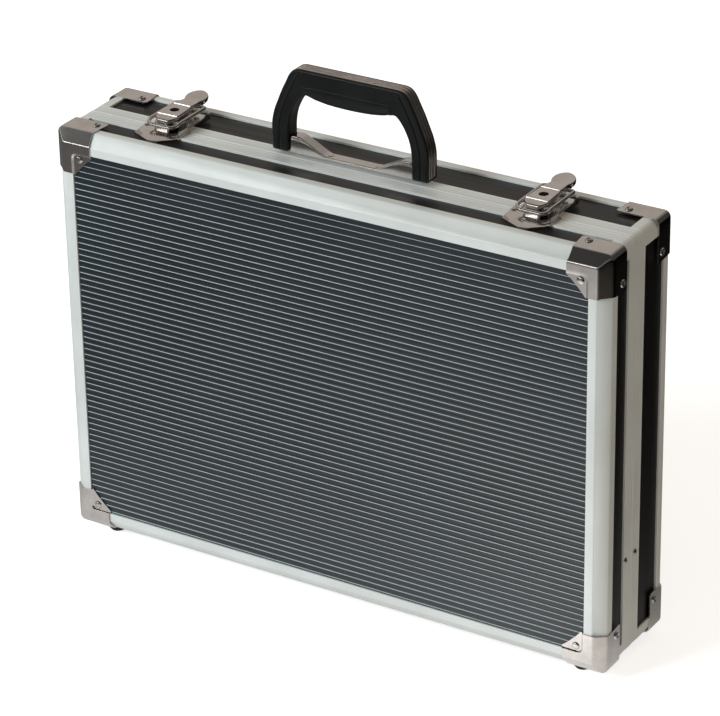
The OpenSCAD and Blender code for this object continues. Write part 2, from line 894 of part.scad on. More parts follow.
// Three bright ribs let into the channel round the outside of the handle
module grip_trim() {
  for (i = [-1, 0, 1]) {
    m = handle_y + i * (rib_w + rib_gap);
    handle_band(m - rib_w / 2, m + rib_w / 2, -0.5, rib_t, 5.2, handle_top + 2);
    handle_band(m - rib_w / 2 + 0.5, m + rib_w / 2 - 0.5, 0, rib_t, 5.2, handle_top + 2);
  }
}

// Flat link with round ends, t thick from x, between two points of the side plane
module bar(x, t, y0, z0, y1, z1, w) {
  translate([x, y0, z0])
    rotate([atan2(z1 - z0, y1 - y0), 0, 0]) {
      l = sqrt((y1 - y0) * (y1 - y0) + (z1 - z0) * (z1 - z0));
      translate([0, 0, -w / 2])
        cube([t, l, w]);
      for (e = [0, l])
        translate([0, e, 0])
          rotate([0, 90, 0])
            cylinder(d = w, h = t);
    }
}

// Lower stay link, with an ear whose lug stops the upper link when the lid is fully open
module lower_link() {
  a = atan2(stay_base_y - elbow_y, elbow_z - stay_z) - 150;
  lug_y = elbow_y + lug_reach * sin(a);
  lug_z = elbow_z - lug_reach * cos(a);
  difference() {
    union() {
      bar(stay_low_x, link_t, stay_base_y, stay_z, elbow_y, elbow_z, link_w);
      bar(stay_low_x, link_t, elbow_y, elbow_z, lug_y, lug_z, 4.4);
    }
    rod_x(stud_r + fit_gap, stay_low_x - 1, stay_low_x + link_t + 1, stay_base_y, stay_z);
    rod_x(stud_r + fit_gap, stay_low_x - 1, stay_low_x + link_t + 1, elbow_y, elbow_z);
  }
  rod_x(1.5, stay_up_x, stay_low_x + link_t / 2, lug_y, lug_z);
}

module upper_link() {
  difference() {
    bar(stay_up_x, link_t, elbow_y, elbow_z, stay_lid_y, stay_z, link_w);
    rod_x(stud_r + fit_gap, stay_up_x - 1, stay_up_x + link_t + 1, stay_lid_y, stay_z);
    rod_x(stud_r + fit_gap, stay_up_x - 1, stay_up_x + link_t + 1, elbow_y, elbow_z);
  }
}

module elbow_rivet() {
  rod_x(stud_r, stay_up_x - 0.2, stay_low_x + link_t + 0.2, elbow_y, elbow_z);
  rod_x(3, stay_up_x - 1.2, stay_up_x - 0.15, elbow_y, elbow_z);
  rod_x(3, stay_low_x + link_t + 0.15, stay_low_x + link_t + 1.2, elbow_y, elbow_z);
}

module stay_stud(y, x_link) {
  rod_x(stud_r, x_link - 0.2, hw + 0.2, y, stay_z);
  rod_x(3, x_link - 1.2, x_link - 0.15, y, stay_z);
  rod_x(2.4, x_link + link_t + 0.15, hw - wall_in, y, stay_z);
  translate([hw, y, stay_z])
    rotate([0, 90, 0])
      dome(4.8, 1.3);
}

// Tray pocket given by its corners in X and Z
module pocket(x0, x1, z0, z1) {
  translate([(x0 + x1) / 2, tray_y0 + tray_t + 1, (z0 + z1) / 2])
    rotate([90, 0, 0])
      linear_extrude(height = tray_t + 2)
        round_rect(x1 - x0, z1 - z0, 6);
}

// Cut-outs for the tools, set from the ends of the tray and from the top of the case
module tray_block() {
  row_1 = case_h - 68;
  row_2 = case_h - 126;
  row_3 = case_h - 212;
  difference() {
    block(-tray_x, tray_x, tray_y0, tray_y0 + tray_t, wall_in, case_h - wall_in);
    pocket(-pocket_x, -10, row_1, row_1 + 46);
    pocket(10, pocket_x, row_1, row_1 + 46);
    pocket(-pocket_x, -10, row_2, row_2 + 42);
    pocket(10, pocket_x, row_2, row_2 + 42);
    pocket(-pocket_x, -78, row_3, row_3 + 70);
    pocket(-62, 62, row_3, row_3 + 70);
    pocket(78, pocket_x, row_3, row_3 + 70);
    pocket(-pocket_x, 62, 22, row_3 - 16);
    pocket(78, pocket_x, 22, row_3 - 16);
  }
}

module foam_slab(y0, t) {
  block(-tray_x, tray_x, y0, y0 + t, bevel_w + 4, case_h - bevel_w - 4);
}

slate = [0.2, 0.24, 0.27];
alu = [0.76, 0.75, 0.73];
chrome = [0.62, 0.6, 0.58];
black = [0.07, 0.07, 0.07];
foam = [0.12, 0.12, 0.13];

module lid_front_panel() {
  color(slate)
    seat()
      lined_panel();
}

module lid_edge_frame() {
  color(alu)
    seat()
      edge_frame();
}

module lid_side_panels() {
  color(black)
    seat()
      side_panels(9.5, lid_panel_end);
}

module lid_parting_frame() {
  color(alu)
    seat()
      lid_parting();
}

module lid_corner_trims() {
  color(alu)
    seat()
      four()
        corner_trim(strip_end, lid_depth - 11.5);
}

module lid_corner_caps() {
  color(chrome)
    seat()
      four()
        corner_cap();
}

module lid_corner_rivets() {
  color(chrome)
    seat()
      corner_rivet_set();
}

module lid_feet() {
  color(black)
    seat()
      both_x()
        foot();
}

module lid_foam_pad() {
  color(foam)
    seat()
      foam_slab(front_drop + panel_t, pad_t);
}

module catch_plates() {
  color(chrome)
    seat()
      both_latches()
        catch_plate();
}

module catch_rivets() {
  color(chrome)
    seat()
      both_latches()
        catch_rivet();
}

module lid_hinge_leaf() {
  color(alu)
    seat()
      hinge_leaf(0);
}

module lid_hinge_rivets() {
  color(chrome)
    seat()
      hinge_rivets();
}

module lid_stay_studs() {
  color(chrome)
    seat()
      both_x()
        stay_stud(stay_lid_y, stay_up_x);
}

module back_panel() {
  color(slate)
    seat()
      rear()
        lined_panel();
}

module base_edge_frame() {
  color(alu)
    seat()
      rear()
        edge_frame();
}

module base_side_panels() {
  color(black)
    seat()
      side_panels(base_panel_start, case_d - 9.5);
}

module base_parting_frame() {
  color(alu)
    seat()
      base_parting();
}

module base_corner_trims() {
  color(alu)
    seat()
      four()
        corner_trim(lid_depth + part_w, case_d - strip_end);
}

module base_corner_caps() {
  color(chrome)
    seat()
      rear()
        four()
          corner_cap();
}

module base_corner_rivets() {
  color(chrome)
    seat()
      rear()
        corner_rivet_set();
}

module base_feet() {
  color(black)
    seat()
      rear()
        both_x()
          foot();
}

module foam_floor() {
  color(foam)
    seat()
      foam_slab(tray_y0 + tray_t, floor_t);
}

module foam_tray() {
  color(foam)
    seat()
      tray_block();
}

module base_hinge_leaf() {
  color(alu)
    seat()
      over_hinge()
        hinge_leaf(1);
}

module base_hinge_rivets() {
  color(chrome)
    seat()
      over_hinge()
        hinge_rivets();
}

module hinge_pin() {
  color(chrome)
    seat()
      rod_x(0.9, -hinge_half, hinge_half, hinge_y, hinge_z);
}

module base_stay_studs() {
  color(chrome)
    seat()
      both_x()
        stay_stud(stay_base_y, stay_low_x);
}

module latch_base_plates() {
  color(chrome)
    seat()
      both_latches()
        latch_base();
}

module latch_plate_rivets() {
  color(chrome)
    seat()
      both_latches()
        latch_plate_rivet();
}

module lever_pins() {
  color(chrome)
    seat()
      both_latches()
        lever_pin();
}

module handle_bracket() {
  color(chrome)
    seat()
      bracket();
}

module bracket_rivets() {
  color(chrome)
    seat()
      bracket_rivet_pair();
}

module handle_pins() {
  color(chrome)
    seat()
      handle_pin_pair();
}

module handle_grip() {
  color(black)
    seat()
      grip();
}

module handle_trim() {
  color(chrome)
    seat()
      grip_trim();
}

module lever_left() {
  color(chrome)
    seat()
      at_latch(-1)
        lever();
}

module lever_right() {
  color(chrome)
    seat()
      at_latch(1)
        lever();
}

module lock_housing_left() {
  color(chrome)
    seat()
      at_latch(-1)
        lock_housing();
}

module lock_housing_right() {
  color(chrome)
    seat()
      at_latch(1)
        lock_housing();
}

module lock_plug_left() {
  color(black)
    seat()
      at_latch(-1)
        lock_plug();
}

module lock_plug_right() {
  color(black)
    seat()
      at_latch(1)
        lock_plug();
}

module bail_left() {
  color(chrome)
    seat()
      at_latch(-1)
        bail();
}

module bail_right() {
  color(chrome)
    seat()
      at_latch(1)
        bail();
}

module stay_lower_left() {
  color(alu)
    seat()
      mirror([1, 0, 0])
        lower_link();
}

module stay_lower_right() {
  color(alu)
    seat()
      lower_link();
}

module stay_upper_left() {
  color(alu)
    seat()
      mirror([1, 0, 0])
        upper_link();
}

module stay_upper_right() {
  color(alu)
    seat()
      upper_link();
}

module elbow_rivet_left() {
  color(chrome)
    seat()
      mirror([1, 0, 0])
        elbow_rivet();
}

module elbow_rivet_right() {
  color(chrome)
    seat()
      elbow_rivet();
}

lid_front_panel();
lid_edge_frame();
lid_side_panels();
lid_parting_frame();
lid_corner_trims();
lid_corner_caps();
lid_corner_rivets();
lid_feet();
lid_foam_pad();
catch_plates();
catch_rivets();
lid_hinge_leaf();
lid_hinge_rivets();
lid_stay_studs();
back_panel();
base_edge_frame();
base_side_panels();
base_parting_frame();
base_corner_trims();
base_corner_caps();
base_corner_rivets();
base_feet();
foam_floor();
foam_tray();
base_hinge_leaf();
base_hinge_rivets();
hinge_pin();
base_stay_studs();
latch_base_plates();
latch_plate_rivets();
lever_pins();
handle_bracket();
bracket_rivets();
handle_pins();
handle_grip();
handle_trim();
lever_left();
lever_right();
lock_housing_left();
lock_housing_right();
lock_plug_left();
lock_plug_right();
bail_left();
bail_right();
stay_lower_left();
stay_lower_right();
stay_upper_left();
stay_upper_right();
elbow_rivet_left();
elbow_rivet_right();
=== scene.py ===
import json
import math

import bmesh
import bpy
import numpy as np
from mathutils import Matrix, Vector


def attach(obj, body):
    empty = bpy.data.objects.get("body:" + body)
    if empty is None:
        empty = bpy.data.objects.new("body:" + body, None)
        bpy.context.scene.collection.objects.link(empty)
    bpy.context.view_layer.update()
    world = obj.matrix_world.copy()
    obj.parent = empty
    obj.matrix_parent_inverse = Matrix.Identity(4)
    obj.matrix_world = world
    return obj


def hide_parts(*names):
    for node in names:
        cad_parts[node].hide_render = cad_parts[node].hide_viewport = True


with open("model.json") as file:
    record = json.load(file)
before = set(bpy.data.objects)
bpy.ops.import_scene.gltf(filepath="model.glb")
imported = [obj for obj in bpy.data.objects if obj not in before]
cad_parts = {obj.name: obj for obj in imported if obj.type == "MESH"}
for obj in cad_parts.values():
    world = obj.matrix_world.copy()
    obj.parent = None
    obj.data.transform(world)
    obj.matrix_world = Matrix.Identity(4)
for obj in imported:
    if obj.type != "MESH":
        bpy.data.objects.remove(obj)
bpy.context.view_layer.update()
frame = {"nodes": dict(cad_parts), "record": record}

caseNodes = frame["nodes"]
slotOf = {subpart["node"]: subpart["material_slot"] for subpart in frame["record"]["subparts"]}
bodyOf = {node: body for body, held in frame["record"]["behaviour"]["bodies"].items() for node in held}
print("socket set case: frame loaded,", len(caseNodes), "nodes")

# sizes shared by every piece, in case millimetres:
# x from the middle, y from the front plane, z from the bottom of the case
caseSize = {"width": 460.0, "height": 330.0, "depth": 97.0, "parting": 42.2, "floorGap": 8.0}
halfWidth = caseSize["width"] / 2
caseTop = caseSize["height"]
caseDepth = caseSize["depth"]
halves = (("lid", False), ("base", True))  # the name of each half, and whether it is the rear one


def toRow(points):
    # row metres = (case millimetres + (0, -depth / 2, floor gap)) / 1000
    return (np.asarray(points, float) + [0.0, -caseDepth / 2, caseSize["floorGap"]]) * 0.001


# mesh helpers


def gridQuads(rows, columns, wrapRows=False, wrapColumns=False):
    # quad (i, j) has the corners (i, j), (i+1, j), (i+1, j+1), (i, j+1), wrapped round where the grid closes
    i = np.arange(rows if wrapRows else rows - 1)
    j = np.arange(columns if wrapColumns else columns - 1)
    ii, jj = np.meshgrid(i, j, indexing="ij")
    nextI, nextJ = (ii + 1) % rows, (jj + 1) % columns
    corners = [ii * columns + jj, nextI * columns + jj, nextI * columns + nextJ, ii * columns + nextJ]
    return np.stack(corners, -1).reshape(-1, 4)


def placedObject(name, data):
    made = bpy.data.objects.new(name, data)
    bpy.context.scene.collection.objects.link(made)
    return made


def creaseAt(mesh, angle):
    # smooth shading, broken where faces meet at more than this many degrees
    mesh.polygons.foreach_set("use_smooth", np.ones(len(mesh.polygons), bool))
    mesh.set_sharp_from_angle(angle=math.radians(angle))
    mesh.update()


def joinedPiece(name, parts, crease, mergeGap=2e-6):
    # several (points, faces) lists in case millimetres become one mesh, doubles merged and normals outward
    points, faces, start = [], [], 0
    for p, f in parts:
        points.append(np.asarray(p, float).reshape(-1, 3))
        faces += [[i + start for i in face] for face in (f.tolist() if hasattr(f, "tolist") else f)]
        start += len(points[-1])
    mesh = bpy.data.meshes.new(name)
    mesh.from_pydata(toRow(np.concatenate(points)).tolist(), [], faces)
    work = bmesh.new()
    work.from_mesh(mesh)
    bmesh.ops.remove_doubles(work, verts=work.verts, dist=mergeGap)
    bmesh.ops.dissolve_degenerate(work, edges=work.edges, dist=mergeGap)
    bmesh.ops.recalc_face_normals(work, faces=work.faces)
    work.to_mesh(mesh)
    work.free()
    creaseAt(mesh, crease)
    return placedObject(name, mesh)


def softEdges(piece, width, segments=2, angle=50):
    # the broken edge of cut and pressed parts, width in mm
    bevel = piece.modifiers.new("edges", "BEVEL")
    bevel.width = width * 0.001
    bevel.segments = segments
    bevel.limit_method = "ANGLE"
    bevel.angle_limit = math.radians(angle)
    return piece


def dress(piece, node, finish=None):
    # the piece stands for a CAD node: it rides that node's body and has its slot, in the slot's finish unless
    # another is given
    piece.data.materials.clear()
    piece.data.materials.append(finish or slotFinish[slotOf[node]])
    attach(piece, bodyOf[node])
    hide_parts(node)


# camera

photoView = {
    "place": (1.22668, -1.97043, 1.35478), "azimuth": 31.879, "elevation": 26.737, "roll": -1.034,
    "lens": 177.29, "sensor": 36.0, "near": 0.1, "far": 40.0,
}


def placeCamera(v):
    # the columns of the camera's matrix are right, up and back, turned by the roll about back
    a, e, r = (math.radians(v[k]) for k in ("azimuth", "elevation", "roll"))
    back = Vector((math.sin(a) * math.cos(e), -math.cos(a) * math.cos(e), math.sin(e)))
    right = Vector((math.cos(a), math.sin(a), 0))
    up = back.cross(right)
    turnedRight = math.cos(r) * right + math.sin(r) * up
    turnedUp = -math.sin(r) * right + math.cos(r) * up
    data = bpy.data.cameras.new("photoCamera")
    data.sensor_width, data.lens = v["sensor"], v["lens"]
    data.clip_start, data.clip_end = v["near"], v["far"]
    camera = placedObject("photoCamera", data)
    axes = Matrix((turnedRight, turnedUp, back)).transposed()
    camera.matrix_world = Matrix.Translation(v["place"]) @ axes.to_4x4()
    bpy.context.scene.camera = camera


placeCamera(photoView)
print("camera placed")

# finishes


def addNode(tree, kind, inputs=None, **settings):
    # a shader node with its settings; an input is a number, a colour or another node's output
    made = tree.nodes.new("ShaderNode" + kind)
    for key, value in settings.items():
        setattr(made, key, value)
    for key, value in (inputs or {}).items():
        if isinstance(value, bpy.types.NodeSocket):
            tree.links.new(value, made.inputs[key])
        else:
            made.inputs[key].default_value = value
    return made


def newFinish(name, **values):
    # an empty principled finish; values go straight onto the shader's own sockets
    material = bpy.data.materials.new(name)
    material.use_nodes = True
    tree = material.node_tree
    shader = tree.nodes["Principled BSDF"]
    for key, value in values.items():
        shader.inputs[key.replace("_", " ")].default_value = value
    return material, tree, shader


def objectPlace(tree, scale=(1, 1, 1), turn=(0, 0, 0)):
    coords = addNode(tree, "TexCoord")
    return addNode(tree, "Mapping", {
        "Vector": coords.outputs["Object"], "Scale": scale, "Rotation": turn}).outputs["Vector"]


def objectAxes(tree):
    coords = addNode(tree, "TexCoord")
    return addNode(tree, "SeparateXYZ", {0: coords.outputs["Object"]}).outputs


def noise(tree, place, scale, detail=3.0, rough=0.5):
    return addNode(tree, "TexNoise", {
        "Vector": place, "Scale": scale, "Detail": detail, "Roughness": rough}).outputs["Fac"]


def spread(tree, value, low=0.0, high=1.0, span=(0.3, 0.7)):
    # straight line from the input span onto low to high, held at both ends
    return addNode(tree, "MapRange", {0: value, 1: span[0], 2: span[1], 3: low, 4: high}).outputs[0]


def cells(tree, scale, feature="F1"):
    return addNode(tree, "TexVoronoi", {
        "Vector": objectPlace(tree), "Scale": scale}, feature=feature).outputs["Distance"]


def doMath(tree, operation, a, b=0.0, c=0.0):
    return addNode(tree, "Math", {0: a, 1: b, 2: c}, operation=operation).outputs[0]


def product(tree, a, b):
    return doMath(tree, "MULTIPLY", a, b)


def blendColours(tree, amount, first, second):
    # the Mix node has a socket set for each type: 0 is the factor, 6 and 7 the two colours
    return addNode(tree, "Mix", {0: amount, 6: first, 7: second}, data_type="RGBA").outputs[2]


def colour(hexCode):
    # sRGB to linear, as the shader wants it
    parts = [int(hexCode[i:i + 2], 16) / 255 for i in (1, 3, 5)]
    return tuple([p / 12.92 if p < 0.04045 else ((p + 0.055) / 1.055) ** 2.4 for p in parts] + [1.0])


def cloudedTone(tree, amount, v):
    return blendColours(tree, spread(tree, amount), colour(v["first"]), colour(v["second"]))


def setLook(tree, shader, tone, gloss, height, v):
    # tone as the base colour, roughness by the gloss map within the shine span, bumps from the height map
    tree.links.new(tone, shader.inputs["Base Color"])
    tree.links.new(spread(tree, gloss, *v["shine"]), shader.inputs["Roughness"])
    strength, distance = v["relief"]
    relief = addNode(tree, "Bump", {"Height": height, "Strength": strength, "Distance": distance})
    tree.links.new(relief.outputs["Normal"], shader.inputs["Normal"])


aluminiumLook = {
    "first": "#e6e8e6", "second": "#dadbd8", "metal": 0.3, "shine": (0.4, 0.5),
    "relief": (0.05, 0.0002), "uprightFrom": 0.2152, "streaks": (6, 900), "clouds": (18.0, 4.0),
}


def aluminiumFinish(name, v):
    # satin drawn aluminium: fine streaks along each bar in gloss and relief, over a slowly clouded tone
    material, tree, shader = newFinish(name, Metallic=v["metal"])
    slow, fine = v["streaks"]
    along = noise(tree, objectPlace(tree, (slow, fine, fine)), 1.0, 2.0)
    upright = noise(tree, objectPlace(tree, (fine, fine, slow)), 1.0, 2.0)
    side = doMath(tree, "ABSOLUTE", objectAxes(tree)[0])
    isUpright = doMath(tree, "GREATER_THAN", side, v["uprightFrom"])
    streak = addNode(tree, "Mix", {0: isUpright, 2: along, 3: upright}).outputs[0]
    clouds = noise(tree, objectPlace(tree), *v["clouds"])
    setLook(tree, shader, cloudedTone(tree, clouds, v), streak, streak, v)
    return material


polishedLook = {
    "first": "#e0dcd9", "second": "#cdc8c4", "shine": (0.1, 0.2), "relief": (0.06, 0.002),
    "smears": (60.0, 5.0, 0.6), "rubs": ((300, 2500, 300), (0.0, 0.0, 0.5)), "rubShare": 0.35,
    "rubRelief": 0.02, "waves": (45.0, 1.0),
}


def polishedFinish(name, v):
    # bright nickel plate: slow waves from the press, faint smears in the gloss, hairline rubs
    material, tree, shader = newFinish(name, Metallic=1.0)
    smears = noise(tree, objectPlace(tree), *v["smears"])
    rubs = noise(tree, objectPlace(tree, *v["rubs"]), 1.0, 2.0)
    rest = product(tree, smears, 1.0 - v["rubShare"])
    both = doMath(tree, "MULTIPLY_ADD", rubs, v["rubShare"], rest)
    waves = noise(tree, objectPlace(tree), *v["waves"])
    uneven = doMath(tree, "MULTIPLY_ADD", rubs, v["rubRelief"], waves)
    setLook(tree, shader, cloudedTone(tree, smears, v), both, uneven, v)
    return material


slateLook = {
    "first": "#191e22", "second": "#20262b", "line": "#a5afb3", "pitch": 4.88, "lineWidth": 0.62,
    "firstLine": 16.4, "inset": 15.7, "shine": (0.32, 0.44), "relief": (0.08, 0.0001),
    "clouds": (9.0, 5.0, 0.6), "grain": (60, 60, 1400),
}


def slateFinish(name, v):
    # slate laminate: fine pale lines at z = first line + n * pitch, short of the frame, over a clouded ground
    material, tree, shader = newFinish(name, IOR=1.6)
    x, y, z = objectAxes(tree)
    height = doMath(tree, "MULTIPLY_ADD", z, 1000.0, -caseSize["floorGap"] - v["firstLine"])
    onLine = doMath(tree, "LESS_THAN", doMath(tree, "FLOORED_MODULO", height, v["pitch"]), v["lineWidth"])
    within = doMath(tree, "LESS_THAN", doMath(tree, "ABSOLUTE", x), (halfWidth - v["inset"]) * 0.001)
    ground = cloudedTone(tree, noise(tree, objectPlace(tree), *v["clouds"]), v)
    grain = noise(tree, objectPlace(tree, v["grain"]), 1.0, 3.0)
    tone = blendColours(tree, product(tree, onLine, within), ground, colour(v["line"]))
    setLook(tree, shader, tone, grain, grain, v)
    return material


handleLook = {
    "first": "#0b0c0d", "second": "#121314", "shine": (0.3, 0.42), "relief": (0.1, 0.0002),
    "pebbles": 1700.0, "clouds": (30.0, 4.0),
}


def handleFinish(name, v):
    # moulded handle plastic: fine pebble grain, polished a little by the hand
    material, tree, shader = newFinish(name)
    clouds = noise(tree, objectPlace(tree), *v["clouds"])
    setLook(tree, shader, cloudedTone(tree, clouds, v), clouds, cells(tree, v["pebbles"], "SMOOTH_F1"), v)
    return material


# the deep foam colour is painted shade for the hollows of the pores
foamLook = {
    "first": "#26272a", "second": "#34353a", "deep": "#141416", "shine": (0.85, 0.97),
    "relief": (0.5, 0.0006), "cells": 900.0, "poreShadeSpan": (0.05, 0.5), "clouds": (25.0, 4.0),
}


def foamFinish(name, v):
    # cut foam: small open cells, darker inside as painted shade in the pores, with the tone a little uneven
    material, tree, shader = newFinish(name, Sheen_Weight=0.15)
    holes = cells(tree, v["cells"])
    tone = cloudedTone(tree, noise(tree, objectPlace(tree), *v["clouds"]), v)
    # the deep colour, blended in towards each cell's middle, is painted shade in the pore
    deep = blendColours(tree, spread(tree, holes, 1.0, 0.0, v["poreShadeSpan"]), tone, colour(v["deep"]))
    setLook(tree, shader, deep, holes, holes, v)
    return material


# black laminate has faint lengthwise lines, rubber pores and dust, the ribs hairlines along the handle, and
# steel fine turning marks with a thin film of oil stains
blackLook = {
    "metal": 0.0, "first": "#0c0c0c", "second": "#171615", "grain": ((2.5, 700, 2.5), 1.0, 2.0),
    "clouds": (14.0, 4.0), "shine": (0.38, 0.5), "relief": (0.12, 0.0002),
}
rubberLook = {
    "metal": 0.0, "first": "#151515", "second": "#232220", "grain": ((1, 1, 1), 900.0, 3.0),
    "clouds": (120.0, 3.0), "shine": (0.62, 0.82), "relief": (0.2, 0.0003),
}
ribLook = {
    "metal": 1.0, "first": "#cbc3bf", "second": "#b5ada9", "grain": ((40, 2600, 40), 1.0, 2.0),
    "clouds": (35.0, 3.0), "shine": (0.24, 0.34), "relief": (0.05, 0.0001),
}
pinLook = {
    "metal": 1.0, "first": "#a9a5a0", "second": "#8b8681", "grain": ((1, 1, 1), 1300.0, 2.0),
    "clouds": (90.0, 4.0), "shine": (0.25, 0.37), "relief": (0.08, 0.0001),
}


def grainedFinish(name, v):
    # a clouded tone between two colours, with the stretched grain in gloss and relief
    material, tree, shader = newFinish(name, Metallic=v["metal"])
    stretch, scale, detail = v["grain"]
    grain = noise(tree, objectPlace(tree, stretch), scale, detail)
    tone = cloudedTone(tree, noise(tree, objectPlace(tree), *v["clouds"]), v)
    setLook(tree, shader, tone, grain, grain, v)
    return material


polished = polishedFinish("polishedPlate", polishedLook)
ribMetal = grainedFinish("ribTrim", ribLook)
# near-black steel for the lock plugs and housings: partly their own dark steel, partly painted shade inside
# the keyhole
keyholeShadeSteel = grainedFinish("keyholeShadeSteel", {**pinLook, "first": "#2a2725", "shine": (0.3, 0.42)})

slotFinish = {
    "slate_panel": slateFinish("slateLaminate", slateLook),
    "aluminium_frame": aluminiumFinish("satinAluminium", aluminiumLook),
    "black_panel": grainedFinish("blackLaminate", blackLook),
    "polished_cap": polished,
    "polished_hardware": polished,
    "rivet_metal": polishedFinish("rivetHeads", {**polishedLook, "shine": (0.12, 0.24)}),
    "steel_pin": grainedFinish("pinSteel", pinLook),
    "black_rubber": grainedFinish("footRubber", rubberLook),
    "black_foam": foamFinish("cutFoam", foamLook),
    "handle_plastic": handleFinish("handlePlastic", handleLook),
    "stay_metal": grainedFinish("stayPlate", {**pinLook, "first": "#bdb9b4", "shine": (0.22, 0.34)}),
}
for nodeName, slotName in slotOf.items():
    for place in caseNodes[nodeName].material_slots:
        place.material = slotFinish[slotName]
# the lock plugs take the near-black steel, whose darkness is partly painted shade in the keyhole
for nodeName in ("lock_plug_left", "lock_plug_right"):
    caseNodes[nodeName].material_slots[0].material = keyholeShadeSteel
print("finishes made:", len(slotFinish))

# shared shapes


def smoothPath(points, count):
    # a curve through the points: in each span the four nearest points weighted by 1, t, t^2 and t^3
    p = np.asarray(points, float)
    n = len(p)
    t = np.linspace(0, n - 1, count)
    i = np.minimum(t.astype(int), n - 2)
    f = (t - i)[:, None]
    a, b, c, d = p[np.maximum(i - 1, 0)], p[i], p[i + 1], p[np.minimum(i + 2, n - 1)]
    square, cube = 2 * a - 5 * b + 4 * c - d, 3 * b - a - 3 * c + d
    return 0.5 * (2 * b + (c - a) * f + square * f ** 2 + cube * f ** 3)


def roundCorners(points, radii, steps=4, closed=True):
    # each corner of a flat outline becomes a parabola that starts and ends one radius away from it
    p = np.asarray(points, float)
    out = []
    for k, r in enumerate(radii):
        if r <= 0 or (not closed and k in (0, len(p) - 1)):
            out.append(p[k:k + 1])
            continue
        before, after = p[k - 1] - p[k], p[(k + 1) % len(p)] - p[k]
        start = p[k] + before * min(r / np.linalg.norm(before), 0.49)
        end = p[k] + after * min(r / np.linalg.norm(after), 0.49)
        t = np.linspace(0, 1, steps + 1)[:, None]
        out.append((1 - t) ** 2 * start + 2 * t * (1 - t) * p[k] + t ** 2 * end)
    return np.concatenate(out)


def shellFaces(rows, columns):
    # a front grid, a back grid turned over, and walls round the open edges
    count, last = rows * columns, (rows - 1) * columns
    front = gridQuads(rows, columns)
    along, down = np.arange(columns - 1), np.arange(rows - 1) * columns
    edges = [(along, along + 1), (along + last, along + last + 1), (down, down + columns),
             (down + columns - 1, down + 2 * columns - 1)]
    walls = [np.stack([a, b, b + count, a + count], -1) for a, b in edges]
    return np.concatenate([front, front[:, ::-1] + count] + walls)


# aluminium bars

edgeBar = {
    "bevelWide": 9.0, "bevelDeep": 7.5, "frontStrip": 15.5, "sideStrip": 14.2, "drop": 1.8,
    "frontDrop": 1.3, "corner": 7.0, "ease": 0.45, "fold": 1.0,
    "inner": [(1.8, 9.5), (3.2, 9.5), (3.2, 9.0), (7.28, 5.6), (12.5, 5.6), (12.5, 4.3), (9.0, 4.3),
        (9.0, 1.3)],
}
partingBar = {
    "lidStart": 30.7, "lidEnd": 42.05, "baseStart": 42.35, "baseEnd": 54.2, "lip": 0.9,
    "sunk": 0.22, "slope": 0.3, "shoulder": 1.5, "foot": 1.4, "rise": 0.8, "corner": 7.0,
    "drop": 1.8, "wallIn": 4.8, "lidWall": (34.2, 37.7), "baseWall": (45.7, 50.2),
    "tongueIn": (2.2, 3.8), "tongueStart": 38.2,
}


def ringAround(profile, corner, steps=7):
    # a profile of (inset a, depth y) carried round the case: a rounded rectangle at inset a,
    # with the corner radius corner - a, or none where a is larger
    a, y = profile[:, 0], profile[:, 1]
    radius = np.maximum(corner - a, 0.0)
    turn = np.radians(np.concatenate([np.linspace(0, 90, steps + 1) + 90 * k for k in range(4)]))[:, None]
    signX = np.repeat([1, -1, -1, 1], steps + 1)[:, None]
    signZ = np.repeat([1, 1, -1, -1], steps + 1)[:, None]
    x = signX * (halfWidth - a - radius) + np.cos(turn) * radius
    z = caseTop / 2 + signZ * (caseTop / 2 - a - radius) + np.sin(turn) * radius
    points = np.stack([x, np.broadcast_to(y, x.shape), z], -1)
    return points, gridQuads(len(turn), len(a), True, True)


def edgeProfile(v, rear):
    # front strip, bevel and side strip with eased folds, then the inner wall with its panel slot
    outer = [(v["frontStrip"], v["frontDrop"]), (v["frontStrip"], 0), (v["bevelWide"], 0),
             (0, v["bevelDeep"]), (0, v["sideStrip"]), (v["drop"], v["sideStrip"])]
    radii = [0, v["ease"], v["fold"], v["fold"], v["ease"], 0] + [0] * len(v["inner"])
    profile = roundCorners(outer + v["inner"], radii)
    if rear:
        profile[:, 1] = caseDepth - profile[:, 1]
    return profile


def partingProfiles(v):
    # lid bar: lip, sunk field and rounded shoulder at the parting line; base bar: the same turned round,
    # with the tongue that reaches into the lid
    lip, r, drop, deep = v["lip"], v["shoulder"], v["drop"], v["wallIn"]
    (near, far), (low, high) = v["lidWall"], v["baseWall"]
    (thin, thick), tip = v["tongueIn"], v["tongueStart"]

    def face(outside, inside, way):
        # from the outer edge in to the parting line; way is the sign of that direction in y
        return [(drop, outside), (0, outside), (0, outside + way * lip),
                (v["sunk"], outside + way * (lip + v["slope"])), (v["sunk"], inside - way * (r + v["foot"])),
                (0, inside - way * (r + v["rise"])), (0, inside), (drop, inside)]

    lid = face(v["lidStart"], v["lidEnd"], 1) + [(drop, far), (deep, far), (deep, near), (drop, near)]
    base = face(v["baseEnd"], v["baseStart"], -1) + [
        (drop, low), (thin, low), (thin, tip), (thick, tip), (thick, low), (deep, low), (deep, high),
        (drop, high)]
    ease = [0, 0.3, 0.2, 0.2, 0.3, 0.4, r, 0]
    return roundCorners(lid, ease + [0] * 4), roundCorners(base, ease + [0] * 8)


for half, rear in halves:
    bars = joinedPiece(half + "EdgeBars", [ringAround(edgeProfile(edgeBar, rear), edgeBar["corner"])], 26)
    dress(bars, half + "_edge_frame")
for (half, rear), profile in zip(halves, partingProfiles(partingBar)):
    bars = joinedPiece(half + "PartingRim", [ringAround(profile, partingBar["corner"])], 26)
    dress(bars, half + "_parting_frame")
print("aluminium bars made")

# corner caps

